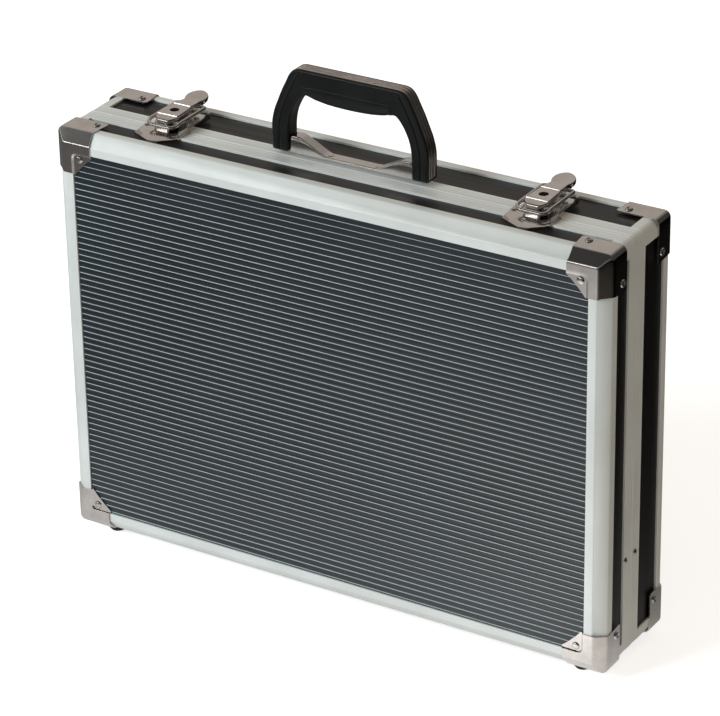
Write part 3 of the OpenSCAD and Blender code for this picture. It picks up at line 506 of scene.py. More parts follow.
capForm = {
    "thick": 1.0, "leg": 31.0, "frontLeg": 32.0, "flapLeg": 32.8, "reach": 24.8, "foldFront": 7.9,
    "foldSide": 6.6, "foldRound": 1.5, "corner": 5.6, "lugDeep": 0.3, "lugTip": 24.9, "lugRoot": 18.0,
    "lugLeg": 32.6, "lugWaist": 1.6, "lugCorner": 20.2, "frontIn": 9.6, "endRound": 2.2,
    "endSteps": [1.5, 0.9, 0.5, 0.25, 0.1, 0.0], "easedEdge": 0.22,
    "step": [(17.3, 0.3, 32.9, 3.1), (16.9, 0.28, 32.9, 3.3), (16.55, 0.15, 32.8, 3.5),
        (16.25, -0.25, 32.6, 3.6), (15.95, -0.7, 32.4, 3.7), (15.6, -0.95, 32.2, 3.7),
        (15.1, -1.0, 32.0, 3.6), (13.0, -1.0, 32.0, 2.6), (11.0, -1.0, 32.0, 1.8)],
}


def capRows(v):
    # rows from the tip of the lug over the step to the free end of the flap:
    # inset a, depth y, leg length s, corner radius r
    t, deep, tip, root, end = v["thick"], v["lugDeep"], v["lugTip"], v["lugRoot"], v["reach"]
    lugA = np.linspace(tip, root, 8)
    share = (tip - lugA) / (tip - root)
    lugLeg = tip + 0.1 + (v["lugLeg"] - tip) * share + v["lugWaist"] * (share ** 2 - share)
    lug = np.stack([lugA, np.full(8, deep), lugLeg, np.clip(v["lugCorner"] - lugA, 0, 4)], -1)
    bend = v["foldRound"]
    run = np.array([[v["frontIn"], -t], [v["foldFront"], -t], [-t, v["foldSide"]], [-t, end]])
    curve = roundCorners(run, [0, bend, bend, 0], 5, closed=False)
    share = np.linspace(0, 1, 8)[1:-1, None]
    bevelRows = curve[6] + (curve[7] - curve[6]) * share
    straight = np.linspace(curve[12][1], end - v["endRound"], 6)[1:]
    flapY = np.concatenate([straight, end - np.array(v["endSteps"])])
    flap = np.stack([np.full(len(flapY), -t), flapY], -1)
    curve = np.concatenate([curve[:7], bevelRows, curve[7:13], flap])
    a, y = curve.T
    legs = np.interp(y, [-t, 0.5, 6, end - v["endRound"]],
                     [v["frontLeg"], v["leg"] + 0.2, v["leg"], v["flapLeg"]])
    into = np.clip(1 - (end - y) / v["endRound"], 0, 1)
    legs -= v["endRound"] * (1 - np.sqrt(1 - into ** 2))
    radius = np.interp(a, [-t, -0.4, 0.6, 2.5, 8, 10], [v["corner"], v["corner"] - 1.0, 3.0, 1.6, 1.2, 1.5])
    return np.concatenate([lug, np.array(v["step"]), np.stack([a, y, legs, radius], -1)])


def spreadRound(rows):
    # each row runs along the top leg, round the corner arc of radius r and down the side leg:
    # (p, q) = (s, a) .. (a + r, a) .. arc .. (a, a + r) .. (a, s)
    a, y, s, radius = (rows[:, k][:, None] for k in range(4))
    radius = np.minimum(radius, np.maximum(s - a, 0) * 0.9)
    share = np.array([1, 0.985, 0.94, 0.8, 0.5, 0.2, 0.0])[None, :]
    arc = np.radians(np.linspace(0, 90, 10))[None, 1:-1]
    leg = a + radius + (s - a - radius) * share
    still = np.broadcast_to(a, leg.shape)
    p = np.concatenate([leg, a + radius * (1 - np.sin(arc)), still], 1)
    q = np.concatenate([still, a + radius * (1 - np.cos(arc)), leg[:, ::-1]], 1)
    return np.stack([p, q, np.broadcast_to(y, p.shape)], -1)


def capSet(name, v, rear):
    # the sheet's outer face is the rows themselves, its inner face the rows moved in by the thickness along
    # the profile's normal (dy, -da); p and q then go to the four corners
    rows = capRows(v)
    run = np.gradient(rows[:, :2], axis=0)
    run /= np.linalg.norm(run, axis=1)[:, None]
    inner = rows.copy()
    inner[:, 0] += run[:, 1] * v["thick"]
    inner[:, 1] -= run[:, 0] * v["thick"]
    inner[:, 3] = np.maximum(rows[:, 3] - (inner[:, 0] - rows[:, 0]), 0.05)
    inner[:, 2] = np.maximum(inner[:, 2], inner[:, 0])
    both = np.concatenate([spreadRound(rows).reshape(-1, 3), spreadRound(inner).reshape(-1, 3)])
    faces = shellFaces(len(rows), 22)
    parts = []
    for sx in (-1, 1):
        for top in (0, 1):
            z = caseTop - both[:, 1] if top else both[:, 1]
            y = caseDepth - both[:, 2] if rear else both[:, 2]
            parts.append((np.stack([sx * (halfWidth - both[:, 0]), y, z], -1), faces))
    return softEdges(joinedPiece(name, parts, 38), v["easedEdge"])


for half, rear in halves:
    dress(capSet(half + "CornerCaps", capForm, rear), half + "_corner_caps")
print("corner caps made")

# rivets of the caps

capRivet = {
    "lugIn": 21.5, "lugUp": 20.3, "lugY": 0.3, "flapIn": 25.5, "flapY": 19.2, "proud": 1.0,
    "dome": [(0, 1.28), (1.05, 1.22), (1.95, 1.0), (2.65, 0.62), (3.05, 0.18), (3.1, -0.15)],
    "eyelet": [(0, -0.5), (0.9, -0.5), (1.15, -0.2), (1.2, 0.5), (1.4, 1.0), (1.8, 1.3), (2.25, 1.25),
        (2.75, 0.8), (3.05, 0.15), (3.1, -0.2)],
}


def turnedHeads(profile, places, axis, segments=28):
    # the profile (radius, height) turned about the axis at every place
    r, h = np.array(profile, float).T
    axis = np.array(axis, float)
    first = np.array([0, 0, 1.0]) if abs(axis[2]) < 0.5 else np.array([1.0, 0, 0])
    turn = np.linspace(0, 2 * np.pi, segments, endpoint=False)[:, None]
    ring = np.cos(turn) * first + np.sin(turn) * np.cross(axis, first)
    one = (r[:, None, None] * ring[None] + h[:, None, None] * axis).reshape(-1, 3)
    points = np.asarray(places, float)[:, None, :] + one[None]
    start = (np.arange(len(places)) * len(one))[:, None]
    quads = (gridQuads(len(r), segments, wrapColumns=True)[None] + start[:, :, None]).reshape(-1, 4)
    rims = (len(r) - 1) * segments + np.arange(segments)[None, :] + start
    return points.reshape(-1, 3), quads.tolist() + rims.tolist()


def capRivets(name, v, rear):
    # a dome on each lug, an eyelet on each flap beside and on top; the lower flaps have feet instead
    facing = 1.0 if rear else -1.0
    flapY, lugY = (caseDepth - v[k] if rear else v[k] for k in ("flapY", "lugY"))
    lugX, topX = halfWidth - v["lugIn"], halfWidth - v["flapIn"]
    lugs = [(sx * lugX, lugY, z) for sx in (-1, 1) for z in (v["lugUp"], caseTop - v["lugUp"])]
    tops = [(sx * topX, flapY, caseTop + v["proud"]) for sx in (-1, 1)]
    parts = [turnedHeads(v["dome"], lugs, (0, facing, 0)), turnedHeads(v["eyelet"], tops, (0, 0, 1))]
    for sx in (-1, 1):
        beside = [(sx * (halfWidth + v["proud"]), flapY, z) for z in (v["flapIn"], caseTop - v["flapIn"])]
        parts.append(turnedHeads(v["eyelet"], beside, (sx, 0, 0)))
    return joinedPiece(name, parts, 55)


for half, rear in halves:
    dress(capRivets(half + "CapRivets", capRivet, rear), half + "_corner_rivets")
print("rivets made")

# handle

gripForm = {
    "middleX": -1.0, "middleY": 48.75, "halfThick": 6.75, "bellyLine": 56.4, "bellySunk": 0.3,
    "bellyX": -2.0, "bellyHalf": 36.4, "bellyFade": 3.4, "edgeRound": 1.3, "bandHalf": 4.85,
    "bandDeep": 1.1, "bandFrom": 4.6, "ribWide": 2.6, "ribGap": 0.9, "footRound": 1.5,
    "seamDeep": 0.55, "seamFrom": 38.5, "seamFade": 2.0, "top": 69.0, "bellyFrom": 44.0,
    "shoulder": [(0.12, 0.1), (0, 0.4), (0.14, 0.9), (0.5, 1.35)], "brow": [(1.0, 0.24), (1.5, 0.06)],
    "groove": [(-0.62, 0), (-0.34, 0.3), (-0.1, 1), (0.1, 1), (0.34, 0.3), (0.62, 0)],
    "outer": [(65.2, 4.5), (65.25, 8), (65.35, 15), (65.1, 25), (63.0, 34), (60.2, 41), (56.4, 50),
        (52.6, 57.6), (49.5, 63.6), (45.6, 67.6), (40.5, 69), (32, 69), (20, 69), (8, 69)],
    "inner": [(51.6, 4.5), (51.6, 8), (51.5, 15), (51.1, 24), (49.2, 33), (45.5, 41), (42.2, 45.8),
        (39.7, 48.4), (37.8, 49.3), (35.6, 49.1), (32.5, 48.2), (27.5, 46.8), (18.5, 45.5),
        (8, 44.9)],
    "seam": [6.4, 6.4, 6.7, 6.8, 6.6, 6.3, 6.0, 5.8, 6.4, 5.4, 2.4, 2.2, 2.2, 2.2],
    "crown": (0, 69, 0, 44.8, 2.2),
}


def gripSides(v, count):
    # outer side, inner side and the seam's way in, as smooth curves from one foot over the crown to the other
    right = np.concatenate([np.array(v["outer"]), np.array(v["inner"]), np.array(v["seam"])[:, None]], 1)
    both = smoothPath(np.concatenate([right, [v["crown"]], right[::-1] * [-1, 1, -1, 1, 1]]), count)
    both[:, 1] = np.minimum(both[:, 1], v["top"])
    return both[:, :2], both[:, 2:4], both[:, 4]


def gripBody(v, count=170):
    # at each station a closed section of p, the way in from the outer side, and q, the depth off the middle:
    # rib channel, rounded shoulder, seam on the legs, face, belly ledge and belly as an ellipse quarter
    outer, inner, seamAt = gripSides(v, count)
    across = inner - outer
    wide = np.linalg.norm(across, axis=1)
    across /= wide[:, None]
    one, t, band = np.ones(count), v["halfThick"], v["bandHalf"]
    belly = np.clip((v["bellyHalf"] - np.abs(inner[:, 0] - v["bellyX"])) / v["bellyFade"], 0, 1)
    belly = belly * belly * (3 - 2 * belly) * (inner[:, 1] > v["bellyFrom"])
    r = v["edgeRound"]
    line = r + belly * (v["bellyLine"] - inner[:, 1] - r)
    roundIn = r + belly * r
    legs = np.clip((np.abs(outer[:, 0]) - v["seamFrom"]) / v["seamFade"], 0, 1)
    seamAt = np.maximum(seamAt, v["crown"][4])
    channel = v["bandDeep"] * np.clip((outer[:, 1] - v["bandFrom"]) / 0.5, 0, 1)
    face = t - v["bellySunk"] * belly
    section = [(channel, 0 * one), (channel, 2.4 * one), (channel, band * one),
               (channel * 0.5, (band + 0.03) * one)]
    section += [(p * one, (band + q) * one) for p, q in v["shoulder"]]
    section += [(p * one, (t - q) * one) for p, q in v["brow"]]
    section += [(seamAt + p, face - v["seamDeep"] * share * legs) for p, share in v["groove"]]
    start, stop = section[-1][0], wide - line - 1.2
    section += [(start + (stop - start) * f, face) for f in (0.33, 0.67, 1.0)]
    section += [(wide - line - 0.25, face), (wide - line - 0.02, t - 0.1 * belly),
                (wide - line + 0.3 * belly, t * one)]
    for angle in np.radians([20, 38, 55, 72, 90]):
        section.append((wide - line * (1 - np.sin(angle)), t - roundIn + roundIn * np.cos(angle)))
    section += [(wide, 0.4 * (t - roundIn)), (wide, 0 * one)]
    p = np.stack([e[0] for e in section], 1)
    q = np.stack([e[1] for e in section], 1)
    p = np.concatenate([p, p[:, -2:0:-1]], 1)
    q = np.concatenate([-q, q[:, -2:0:-1]], 1)
    grid = np.stack([outer[:, :1] + across[:, :1] * p, q, outer[:, 1:] + across[:, 1:] * p], -1)
    ends = []
    for end in (0, -1):
        middle = grid[end].mean(0)
        angle = np.radians([25, 50, 72, 90])[:, None, None]
        r = v["footRound"]
        shrink = 1 - r * (1 - np.cos(angle)) / t
        rings = middle + (grid[end] - middle)[None] * shrink
        rings[..., 2] = grid[end][None, :, 2] - r * np.sin(angle[..., 0])
        point = np.broadcast_to(rings[-1].mean(0), grid[end].shape)[None]
        ends.append(np.concatenate([rings, point]))
    grid = np.concatenate([ends[0][::-1], grid, ends[1]])
    grid += np.array([v["middleX"], v["middleY"], caseTop])
    return grid.reshape(-1, 3), gridQuads(*grid.shape[:2], wrapColumns=True)


def gripRibs(v, count=170):
    # three bright ribs in the channel: a low arch carried along the outer side, closed at both ends
    outer, inner, _ = gripSides(v, count)
    across = (inner - outer) / np.linalg.norm(inner - outer, axis=1)[:, None]
    outer, across = outer[2:-2], across[2:-2]
    w, d = v["ribWide"] / 2, v["bandDeep"]
    rise = [(-w, d), (-w, 0.45), (-w + 0.15, 0.22), (-w + 0.4, 0.1), (-w * 0.4, 0.02)]
    q, p = np.array(rise + [(0, 0)] + [(-q, p) for q, p in rise[::-1]]).T
    parts = []
    for k in (-1, 0, 1):
        x = outer[:, :1] + across[:, :1] * p + v["middleX"]
        h = outer[:, 1:] + across[:, 1:] * p + caseTop
        y = np.broadcast_to(q + v["middleY"] + k * (v["ribWide"] + v["ribGap"]), x.shape)
        rows, columns = x.shape
        faces = gridQuads(rows, columns, wrapColumns=True).tolist()
        faces += [list(range(columns)), list(range((rows - 1) * columns, rows * columns))]
        parts.append((np.stack([x, y, h], -1), faces))
    return joinedPiece("handleRibs", parts, 40)


dress(joinedPiece("handleGrip", [gripBody(gripForm)], 40), "handle_grip")
dress(gripRibs(gripForm), "handle_trim", ribMetal)
print("handle made")

# latch levers

# rim and back are rows of along y, crest z, half width and lower edge, with the key's middle between them
leverForm = {
    "across": 154.0, "middle": -0.5, "thick": 1.1, "bend": 0.95, "keyAt": 5.8, "keyRound": 3.6,
    "keyBlock": 4.7, "crest": 13.0, "half": 8.85, "taper": 0.045, "low": 5.75, "discAt": 34.8,
    "discRound": 8.8, "discRise": 0.1, "discCurve": 0.0025, "neck": (28.8, 12.6), "easedEdge": 0.18,
    "discDeep": ([29.4, 34.8, 41.0, 43.6], [4.0, 3.0, 1.6, 0.9]),
    "rim": [(-10.45, 6.5, 3.2, 5.9), (-10.5, 8.4, 3.6, 5.6), (-10.45, 9.9, 4.3, 5.2),
        (-10.2, 10.7, 4.9, 5.0), (-9.8, 11.15, 5.4, 4.9), (-9.2, 11.45, 6.0, 4.8),
        (-8.2, 11.7, 6.9, 4.7), (-7.0, 11.95, 7.8, 4.7), (-5.8, 12.15, 8.5, 4.7),
        (-4.9, 12.3, 8.9, 4.8), (-4.1, 12.36, 9.1, 4.9), (-3.98, 12.42, 9.1, 5.0),
        (-3.75, 12.93, 9.1, 5.0), (-3.6, 12.99, 9.1, 5.1), (-1.0, 13.0, 9.0, 5.5)],
    "back": [(13.4, 13.02, 8.25, 5.9), (15.3, 13.02, 8.1, 5.9), (15.45, 13.08, 8.05, 5.9),
        (15.7, 13.63, 8.0, 5.9), (15.9, 13.7, 8.0, 5.9), (17.2, 13.6, 7.95, 5.9),
        (20.0, 13.35, 7.7, 6.0), (23.8, 13.0, 7.3, 6.3), (26.2, 12.8, 7.0, 7.2),
        (27.6, 12.68, 6.9, 8.2)],
}


def leverRows(v):
    # rows from the nose to the tip of the finger disc, whose crest rises from the neck as a shallow parabola
    hole = v["keyAt"] + v["keyBlock"] * np.linspace(-1, 1, 9)
    middle = np.stack([hole, v["crest"] + 0 * hole, v["half"] - v["taper"] * hole, v["low"] + 0 * hole], -1)
    angle = np.radians(np.concatenate([np.linspace(-38, 60, 9), [70, 78, 84, 88]]))
    along = v["discAt"] + v["discRound"] * np.sin(angle)
    fromNeck = along - v["neck"][0]
    crest = v["neck"][1] + v["discRise"] * fromNeck + v["discCurve"] * fromNeck ** 2
    low = crest - np.interp(along, *v["discDeep"])
    disc = np.stack([along, crest, v["discRound"] * np.cos(angle), low], -1)
    return np.concatenate([v["rim"], middle, v["back"], disc])


def foldedShell(rows, bend, thick):
    # each row is a cross-section: up one cheek, round the bend, over the flat, then mirrored. The inner face
    # is the same with every length less the thickness, moved in along the crest's normal (dz, -dy)
    run = np.gradient(rows[:, :2], axis=0)
    run /= np.linalg.norm(run, axis=1)[:, None]
    angle = np.radians(np.linspace(0, 90, 6))[None, :]
    up = np.linspace(0, 1, 4)[None, :-1]
    grids = []
    for inset in (0, thick):
        along = (rows[:, 0] + inset * run[:, 1])[:, None]
        crest = (rows[:, 1] - inset * run[:, 0])[:, None]
        wide = np.maximum(rows[:, 2] - inset, 0.2)[:, None]
        r = np.minimum(np.maximum(bend - inset, 0.05), wide * 0.9)
        low = np.minimum(rows[:, 3:], crest - r)
        cheek = low + (crest - r - low) * up
        level = np.broadcast_to(crest, (len(crest), 2))
        x = np.concatenate([np.broadcast_to(wide, cheek.shape), wide - r + r * np.cos(angle),
                            (wide - r) * [[0.84, 0.67]]], 1)
        z = np.concatenate([cheek, crest - r + r * np.sin(angle), level], 1)
        flat = (wide - r) * np.linspace(-0.67, 0.67, 9)[None, 1:-1]
        x = np.concatenate([-x, flat, x[:, ::-1]], 1)
        z = np.concatenate([z, np.broadcast_to(crest, flat.shape), z[:, ::-1]], 1)
        grids.append(np.stack([x, np.broadcast_to(along, x.shape), z], -1))
    return grids


def leverShell(name, v, side):
    # the block of cells round the key is left out on both faces; its border points are joined to a circle
    # by rays from the key's middle, and the two circles by a wall
    outer, inner = foldedShell(leverRows(v), v["bend"], v["thick"])
    count, columns = outer.shape[:2]
    first, cells = len(v["rim"]), 8
    left = (columns - cells - 1) // 2
    i = np.arange(cells)
    zero, full = 0 * i, 0 * i + cells
    loop = np.concatenate([np.stack(pair, -1) for pair in (
        (zero, i), (i, full), (full, cells - i), (cells - i, zero))])
    border = (loop[:, 0] + first) * columns + loop[:, 1] + left
    faces = shellFaces(count, columns)
    total = count * columns
    row, column = np.divmod(faces.min(1) % total, columns)
    inBlock = (row >= first) & (row < first + cells) & (column >= left) & (column < left + cells)
    inBlock[2 * (count - 1) * (columns - 1):] = False
    points = np.concatenate([outer, inner]).reshape(-1, 3)
    rings = []
    for start in (0, total):
        ring = points[border + start]
        ray = ring[:, :2] - [0, v["keyAt"]]
        ring[:, :2] = [0, v["keyAt"]] + ray / np.linalg.norm(ray, axis=1)[:, None] * v["keyRound"]
        rings.append(ring)
    top = 2 * total + np.arange(len(border))
    low = top + len(border)
    nextBorder, nextTop, nextLow = (np.roll(part, -1) for part in (border, top, low))
    extra = [np.stack([border, nextBorder, nextTop, top], -1),
             np.stack([border + total, low, nextLow, nextBorder + total], -1),
             np.stack([top, nextTop, nextLow, low], -1)]
    points = np.concatenate([points] + rings)
    points += [side * v["across"] + v["middle"], caseSize["parting"], caseTop]
    piece = joinedPiece(name, [(points, np.concatenate([faces[~inBlock]] + extra))], 30)
    return softEdges(piece, v["easedEdge"])


for side, word in ((-1, "left"), (1, "right")):
    dress(leverShell("leverShell." + word, leverForm, side), "lever_" + word)
print("levers made")

# handle bracket

bracketForm = {
    "middleX": -1.0, "middleY": 49.25, "half": 4.75, "thick": 1.1, "bend": 0.9, "low": 2.6,
    "seat": 4.4, "rivetAt": 20.0, "rivetUp": 4.45,
    "side": [(50.9, 3.6), (51.0, 9.0), (50.95, 13.6), (50.6, 14.7), (49.8, 15.3), (48.6, 15.4),
        (44.4, 15.4), (42.6, 15.1), (41.0, 14.4), (38.5, 13.1), (33.8, 10.7), (29.2, 8.3),
        (24.5, 5.9), (22.8, 5.1), (21.2, 4.62), (19.4, 4.43), (17.0, 4.4), (8.0, 4.4)],
    "rivet": [(0, 0.45), (1.5, 0.4), (2.3, 0.2), (2.5, -0.2)],
}


def bracketSheet(v):
    # the channel runs along x: end, raised shoulder, ramp and strap, then the same mirrored
    side = np.array(v["side"])
    path = np.concatenate([side * [-1, 1], [[0, v["seat"]]], side[::-1]])
    rows = np.concatenate([path, np.broadcast_to([v["half"], v["low"]], path.shape)], 1)
    outer, inner = foldedShell(rows, v["bend"], v["thick"])
    points = np.concatenate([outer, inner]).reshape(-1, 3)[:, [1, 0, 2]]
    points += [v["middleX"], v["middleY"], caseTop]
    return joinedPiece("handleBracket", [(points, shellFaces(*outer.shape[:2]))], 38)


def bracketRivets(v):
    heads = [(v["middleX"] + k * v["rivetAt"], v["middleY"], caseTop + v["rivetUp"]) for k in (-1, 1)]
    return joinedPiece("bracketRivets", [turnedHeads(v["rivet"], heads, (0, 0, 1))], 50)


dress(bracketSheet(bracketForm), "handle_bracket")
dress(bracketRivets(bracketForm), "bracket_rivets")
print("handle bracket made")

# pressed and cut parts that keep the CAD shape: width of the broken edge in mm, and its segments

edgeBreak = {
    "catch_plates": (0.55, 4), "latch_base_plates": (0.2, 2), "lock_housing_left": (0.15, 2),
    "lock_housing_right": (0.15, 2), "lid_corner_trims": (0.35, 2), "base_corner_trims": (0.35, 2),
}


def brokenEdges(node, width, segments):
    # a copy of the node's mesh, merged, with flat neighbours joined, and each sharp edge rounded by width mm
    mesh = caseNodes[node].data.copy()
    work = bmesh.new()
    work.from_mesh(mesh)
    bmesh.ops.remove_doubles(work, verts=work.verts, dist=1e-6)
    bmesh.ops.dissolve_limit(work, angle_limit=math.radians(0.6), verts=work.verts, edges=work.edges)
    work.to_mesh(mesh)
    work.free()
    creaseAt(mesh, 32)
    piece = softEdges(placedObject(node + ".soft", mesh), width, segments, 28)
    # lock housings take the near-black steel, dark partly as painted shade inside the keyhole
    dress(piece, node, keyholeShadeSteel if node.startswith("lock_housing") else None)


for nodeName, (width, segments) in edgeBreak.items():
    brokenEdges(nodeName, width, segments)
print("pressed parts finished:", len(edgeBreak))

# foam

# pockets are left, right, low and high; near holds the offsets of the grid lines beside a pocket's edge
trayForm = {
    "top": 49.0, "floor": 84.3, "back": 84.68, "halfWide": 214.0, "low": 4.8, "high": 325.2,
    "round": 2.2, "pocketRound": 6.0, "swell": 0.25, "swellLong": (23.0, 19.0), "swellFade": 6,
    "cell": 9.0, "near": [0.0, 0.25, 0.6, 1.1, 1.7, 2.4, 4.0, 6.5],
    "pockets": [(-200, -10, 262, 308), (10, 200, 262, 308), (-200, -10, 204, 246),
        (10, 200, 204, 246), (-200, -78, 118, 188), (-62, 62, 118, 188),
        (78, 200, 118, 188), (-200, 62, 22, 102), (78, 200, 22, 102)],
}


def foamSlab(name, x, y, z, back, crease):
    # the grid (x, y, z) as the worked face, a flat back at the given depth, and walls between them
    worked = np.stack([x, y, z], -1)
    flat = worked.copy()
    flat[..., 1] = back
    return joinedPiece(name, [(np.concatenate([worked, flat]), shellFaces(*x.shape))], crease)


def toRim(x, z, v):
    # distance to the nearest side of the slab
    return np.minimum.reduce([x + v["halfWide"], v["halfWide"] - x, z - v["low"], v["high"] - z])


def roundedBoxDistance(x, z, box, radius):
    # signed distance to a rounded rectangle: what sticks out past the shrunk half sizes, less the radius
    x0, x1, z0, z1 = box
    dx = np.abs(x - (x0 + x1) / 2) - ((x1 - x0) / 2 - radius)
    dz = np.abs(z - (z0 + z1) / 2) - ((z1 - z0) / 2 - radius)
    outside = np.hypot(np.maximum(dx, 0), np.maximum(dz, 0))
    return outside + np.minimum(np.maximum(dx, dz), 0) - radius


def clusteredLines(low, high, edges, step, near):
    # grid lines a step apart, with extra ones at the given offsets on both sides of each edge
    lines = [low, high] + list(np.arange(low, high, step))
    for e in edges:
        lines += [e + s for s in near] + [e - s for s in near]
    lines = np.unique(np.round([v for v in lines if low <= v <= high], 3))
    keep = [lines[0]]
    for v in lines[1:]:
        if v - keep[-1] > 0.14:
            keep.append(v)
    keep[-1] = lines[-1]
    return np.array(keep)


def foamTray(v):
    # face y = top + sink(d), where d is the distance to the nearest pocket or side: 0 well away,
    # a quarter-round over the last few millimetres, then the wall down to the floor
    pockets = np.array(v["pockets"])
    xs = clusteredLines(-v["halfWide"], v["halfWide"], pockets[:, :2].ravel(), v["cell"], v["near"])
    zs = clusteredLines(v["low"], v["high"], pockets[:, 2:].ravel(), v["cell"], v["near"])
    x, z = np.meshgrid(xs, zs, indexing="ij")
    d = np.min([roundedBoxDistance(x, z, p, v["pocketRound"]) for p in pockets], axis=0)
    away = np.minimum(d, toRim(x, z, v))
    lip = np.clip(1 - away / v["round"], 0, 1)
    sink = v["round"] * (1 - np.sqrt(1 - lip ** 2))
    longX, longZ = v["swellLong"]
    swell = v["swell"] * np.sin(x / longX) * np.sin(z / longZ) * np.clip(away / v["swellFade"], 0, 1)
    y = np.where(d < 0, v["floor"], v["top"] + sink + swell)
    return foamSlab("foamTray", x, y, z, v["back"], 50)


# the lid pad has an egg-crate face, and the floor pad is flat; each is glued on at its back
padForm = {
    "halfWide": 214.0, "low": 13.0, "high": 317.0, "wave": 2.1, "pitch": 26.0, "rimRound": 3.0,
    "across": 215, "upward": 153, "lidBack": 4.32, "lidFace": 15.3, "floorBack": 92.68,
    "floorFace": 84.72,
}


def foamPad(name, v, back, face, waves):
    # depth below the face = wave * (1 - sin(2 pi x / pitch) * sin(2 pi z / pitch)), rounded off at the rim
    xs = np.linspace(-v["halfWide"], v["halfWide"], v["across"])
    zs = np.linspace(v["low"], v["high"], v["upward"])
    x, z = np.meshgrid(xs, zs, indexing="ij")
    into = math.copysign(1.0, back - face)
    turns = 2 * np.pi / v["pitch"]
    hills = np.sin(turns * x) * np.sin(turns * (z - caseTop / 2))
    rim = np.clip(1 - toRim(x, z, v) / v["rimRound"], 0, 1)
    rounded = v["rimRound"] * (1 - np.sqrt(1 - rim ** 2))
    y = face + into * (0.2 + waves * v["wave"] * (1 - hills) + rounded)
    return foamSlab(name, x, y, z, back, 60)


def dressFoam(piece, node):
    dress(piece, node)


dressFoam(foamTray(trayForm), "foam_tray")
dressFoam(foamPad("lidPad", padForm, padForm["lidBack"], padForm["lidFace"], 1.0), "lid_foam_pad")
dressFoam(foamPad("floorPad", padForm, padForm["floorBack"], padForm["floorFace"], 0.0), "foam_floor")
print("foam made")

# floor, lights and surroundings

# a span is where a blend starts and is full, a bell's shape its middle and its widths below and above it,
# and a spot x, y, width and strength
studio = {
    "skyCool": (0.26, 0.265, 0.265, 1.0), "skyWarm": (0.52, 0.445, 0.35, 1.0), "warmSpan": (-0.7, 0.7),
    "skyFront": (0.14, 0.15, 0.155, 1.0), "frontSpan": (0.45, 0.62),
    "skyBehind": (0.46, 0.42, 0.385, 1.0), "behindSpan": (-0.25, 0.4),
    "skyRight": (0.05, 0.048, 0.046, 1.0), "rightSpan": (0.1, 0.6),
    "overLeft": (0.2, 0.2, 0.195, 1.0), "overRight": (0.045, 0.044, 0.044, 1.0), "overSpan": (-0.58, -0.47),
    "windowTone": (6.0, 5.9, 5.7, 1.0), "windowUp": (0.28, 0.05, 0.05), "windowAcross": (-0.5, 0.3, 0.3),
    "keyPlace": (-1.6, -2.25, 1.65), "keyAim": (0, 0, 0.2), "keySize": 1.6, "keyWatts": 88.0,
    "keyTint": (0.9, 1.0, 1.03),
    "floorHalf": 14.0, "floorAt": -0.0002, "floorTone": 0.86, "floorLift": 0.66,
    "poolAcross": (0.1, 0.36, 0.37), "poolBack": (-0.2, 0.6, 0.22), "poolBase": 0.12,
    "baseAcross": (0.0, 9.0, 0.3), "spots": [(0.17, -0.14, 0.11, 0.6), (-0.25, -0.08, 0.13, 0.27)],
    "poolTone": (1.0, 0.985, 0.965, 1.0), "poolWarm": (0.98, 0.9, 0.8, 1.0), "poolSpan": (0.2, 0.4),
}


def bell(tree, value, shape):
    # exp(-(d / width)^2) with d = value - middle
    middle, low, high = shape
    d = doMath(tree, "SUBTRACT", value, middle)
    below = doMath(tree, "LESS_THAN", d, 0.0)
    width = addNode(tree, "Mix", {0: below, 2: high, 3: low}).outputs[0]
    ratio = doMath(tree, "DIVIDE", d, width)
    return doMath(tree, "EXPONENT", product(tree, product(tree, ratio, ratio), -1.0))


def seenByCamera(tree, path):
    return doMath(tree, "MAXIMUM", path.outputs["Is Camera Ray"], path.outputs["Is Transmission Ray"])


def makeWorld(v):
    # white for the camera. Mirrors see a room by the ray's direction: dim in front with a low bright window,
    # a warm grey wall behind, dark over the front and nearly black at the right. Everything else gets a soft
    # light, cool from the front left and warm from the right rear
    world = bpy.data.worlds.new("studioWorld")
    bpy.context.scene.world = world
    world.use_nodes = True
    tree = world.node_tree
    path = addNode(tree, "LightPath")
    coords = addNode(tree, "TexCoord")
    x, y, z = addNode(tree, "SeparateXYZ", {0: coords.outputs["Generated"]}).outputs
    over = blendColours(tree, spread(tree, x, span=v["overSpan"]), v["overLeft"], v["overRight"])
    sky = blendColours(tree, spread(tree, z, span=v["frontSpan"]), v["skyFront"], over)
    sky = blendColours(tree, spread(tree, y, span=v["behindSpan"]), sky, v["skyBehind"])
    window = product(tree, bell(tree, z, v["windowUp"]), bell(tree, x, v["windowAcross"]))
    window = product(tree, window, doMath(tree, "LESS_THAN", y, 0.0))
    sky = blendColours(tree, window, sky, v["windowTone"])
    rightward = doMath(tree, "MULTIPLY_ADD", y, 0.3, x)
    sky = blendColours(tree, spread(tree, rightward, span=v["rightSpan"]), sky, v["skyRight"])
    warmward = doMath(tree, "MULTIPLY_ADD", y, 0.6, x)
    plain = blendColours(tree, spread(tree, warmward, span=v["warmSpan"]), v["skyCool"], v["skyWarm"])
    tone = blendColours(tree, path.outputs["Is Glossy Ray"], plain, sky)
    tone = blendColours(tree, seenByCamera(tree, path), tone, (1, 1, 1, 1))
    tree.links.new(tone, tree.nodes["Background"].inputs["Color"])


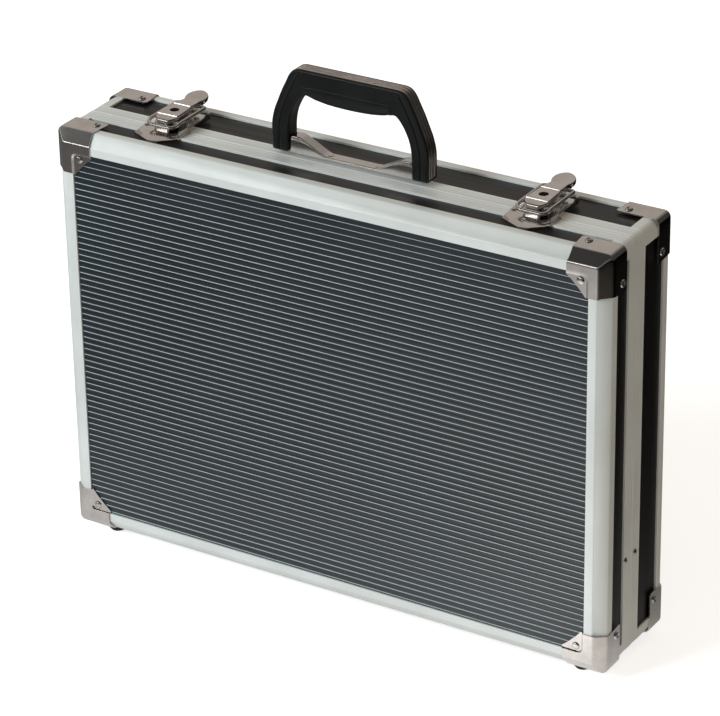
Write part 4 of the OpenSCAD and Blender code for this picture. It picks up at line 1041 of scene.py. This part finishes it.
def makeFloor(v):
    # pale paper that keeps the soft shadow, lifted to white for the camera. Mirrors see a pool of light on
    # it, a product of two bells over a low base, with a brighter spot near two of the corners
    s, low = v["floorHalf"], v["floorAt"]
    mesh = bpy.data.meshes.new("floorPaper")
    mesh.from_pydata([(-s, -s, low), (s, -s, low), (s, s, low), (-s, s, low)], [], [(0, 1, 2, 3)])
    material, tree, shader = newFinish("floorPaper", Roughness=0.9, Emission_Color=(1, 1, 1, 1))
    pale, dull = ((level, level, level, 1.0) for level in (v["floorTone"], v["floorTone"] - 0.02))
    tone = blendColours(tree, noise(tree, objectPlace(tree), 3.0), pale, dull)
    tree.links.new(tone, shader.inputs["Base Color"])
    path = addNode(tree, "LightPath")
    lift = product(tree, seenByCamera(tree, path), v["floorLift"])
    tree.links.new(lift, shader.inputs["Emission Strength"])
    x, y, z = objectAxes(tree)
    pool = product(tree, bell(tree, x, v["poolAcross"]), bell(tree, y, v["poolBack"]))
    base = product(tree, bell(tree, x, v["baseAcross"]), v["poolBase"])
    level = doMath(tree, "MULTIPLY_ADD", pool, 1.0 - v["poolBase"], base)
    for spotX, spotY, size, strength in v["spots"]:
        spot = product(tree, bell(tree, x, (spotX, size, size)), bell(tree, y, (spotY, size, size)))
        level = doMath(tree, "MULTIPLY_ADD", spot, strength, level)
    tint = blendColours(tree, spread(tree, x, span=v["poolSpan"]), v["poolTone"], v["poolWarm"])
    glow = addNode(tree, "Emission", {"Color": tint, "Strength": level})
    mixed = addNode(tree, "MixShader", {
        0: path.outputs["Is Glossy Ray"], 1: shader.outputs[0], 2: glow.outputs[0]})
    tree.links.new(mixed.outputs[0], tree.nodes["Material Output"].inputs["Surface"])
    mesh.materials.append(material)
    placedObject("floorPaper", mesh)


def placeKeyLamp(v):
    # one large soft lamp in front on the left; mirrors see the window in the sky instead of it
    data = bpy.data.lights.new("keyLamp", "AREA")
    data.size, data.energy, data.color = v["keySize"], v["keyWatts"], v["keyTint"]
    lamp = placedObject("keyLamp", data)
    lamp.location = v["keyPlace"]
    aim = Vector(v["keyAim"]) - Vector(v["keyPlace"])
    lamp.rotation_euler = aim.to_track_quat("-Z", "Y").to_euler()
    lamp.visible_glossy = False


bpy.context.scene.view_settings.view_transform = "Standard"
makeWorld(studio)
makeFloor(studio)
placeKeyLamp(studio)
print("studio made")
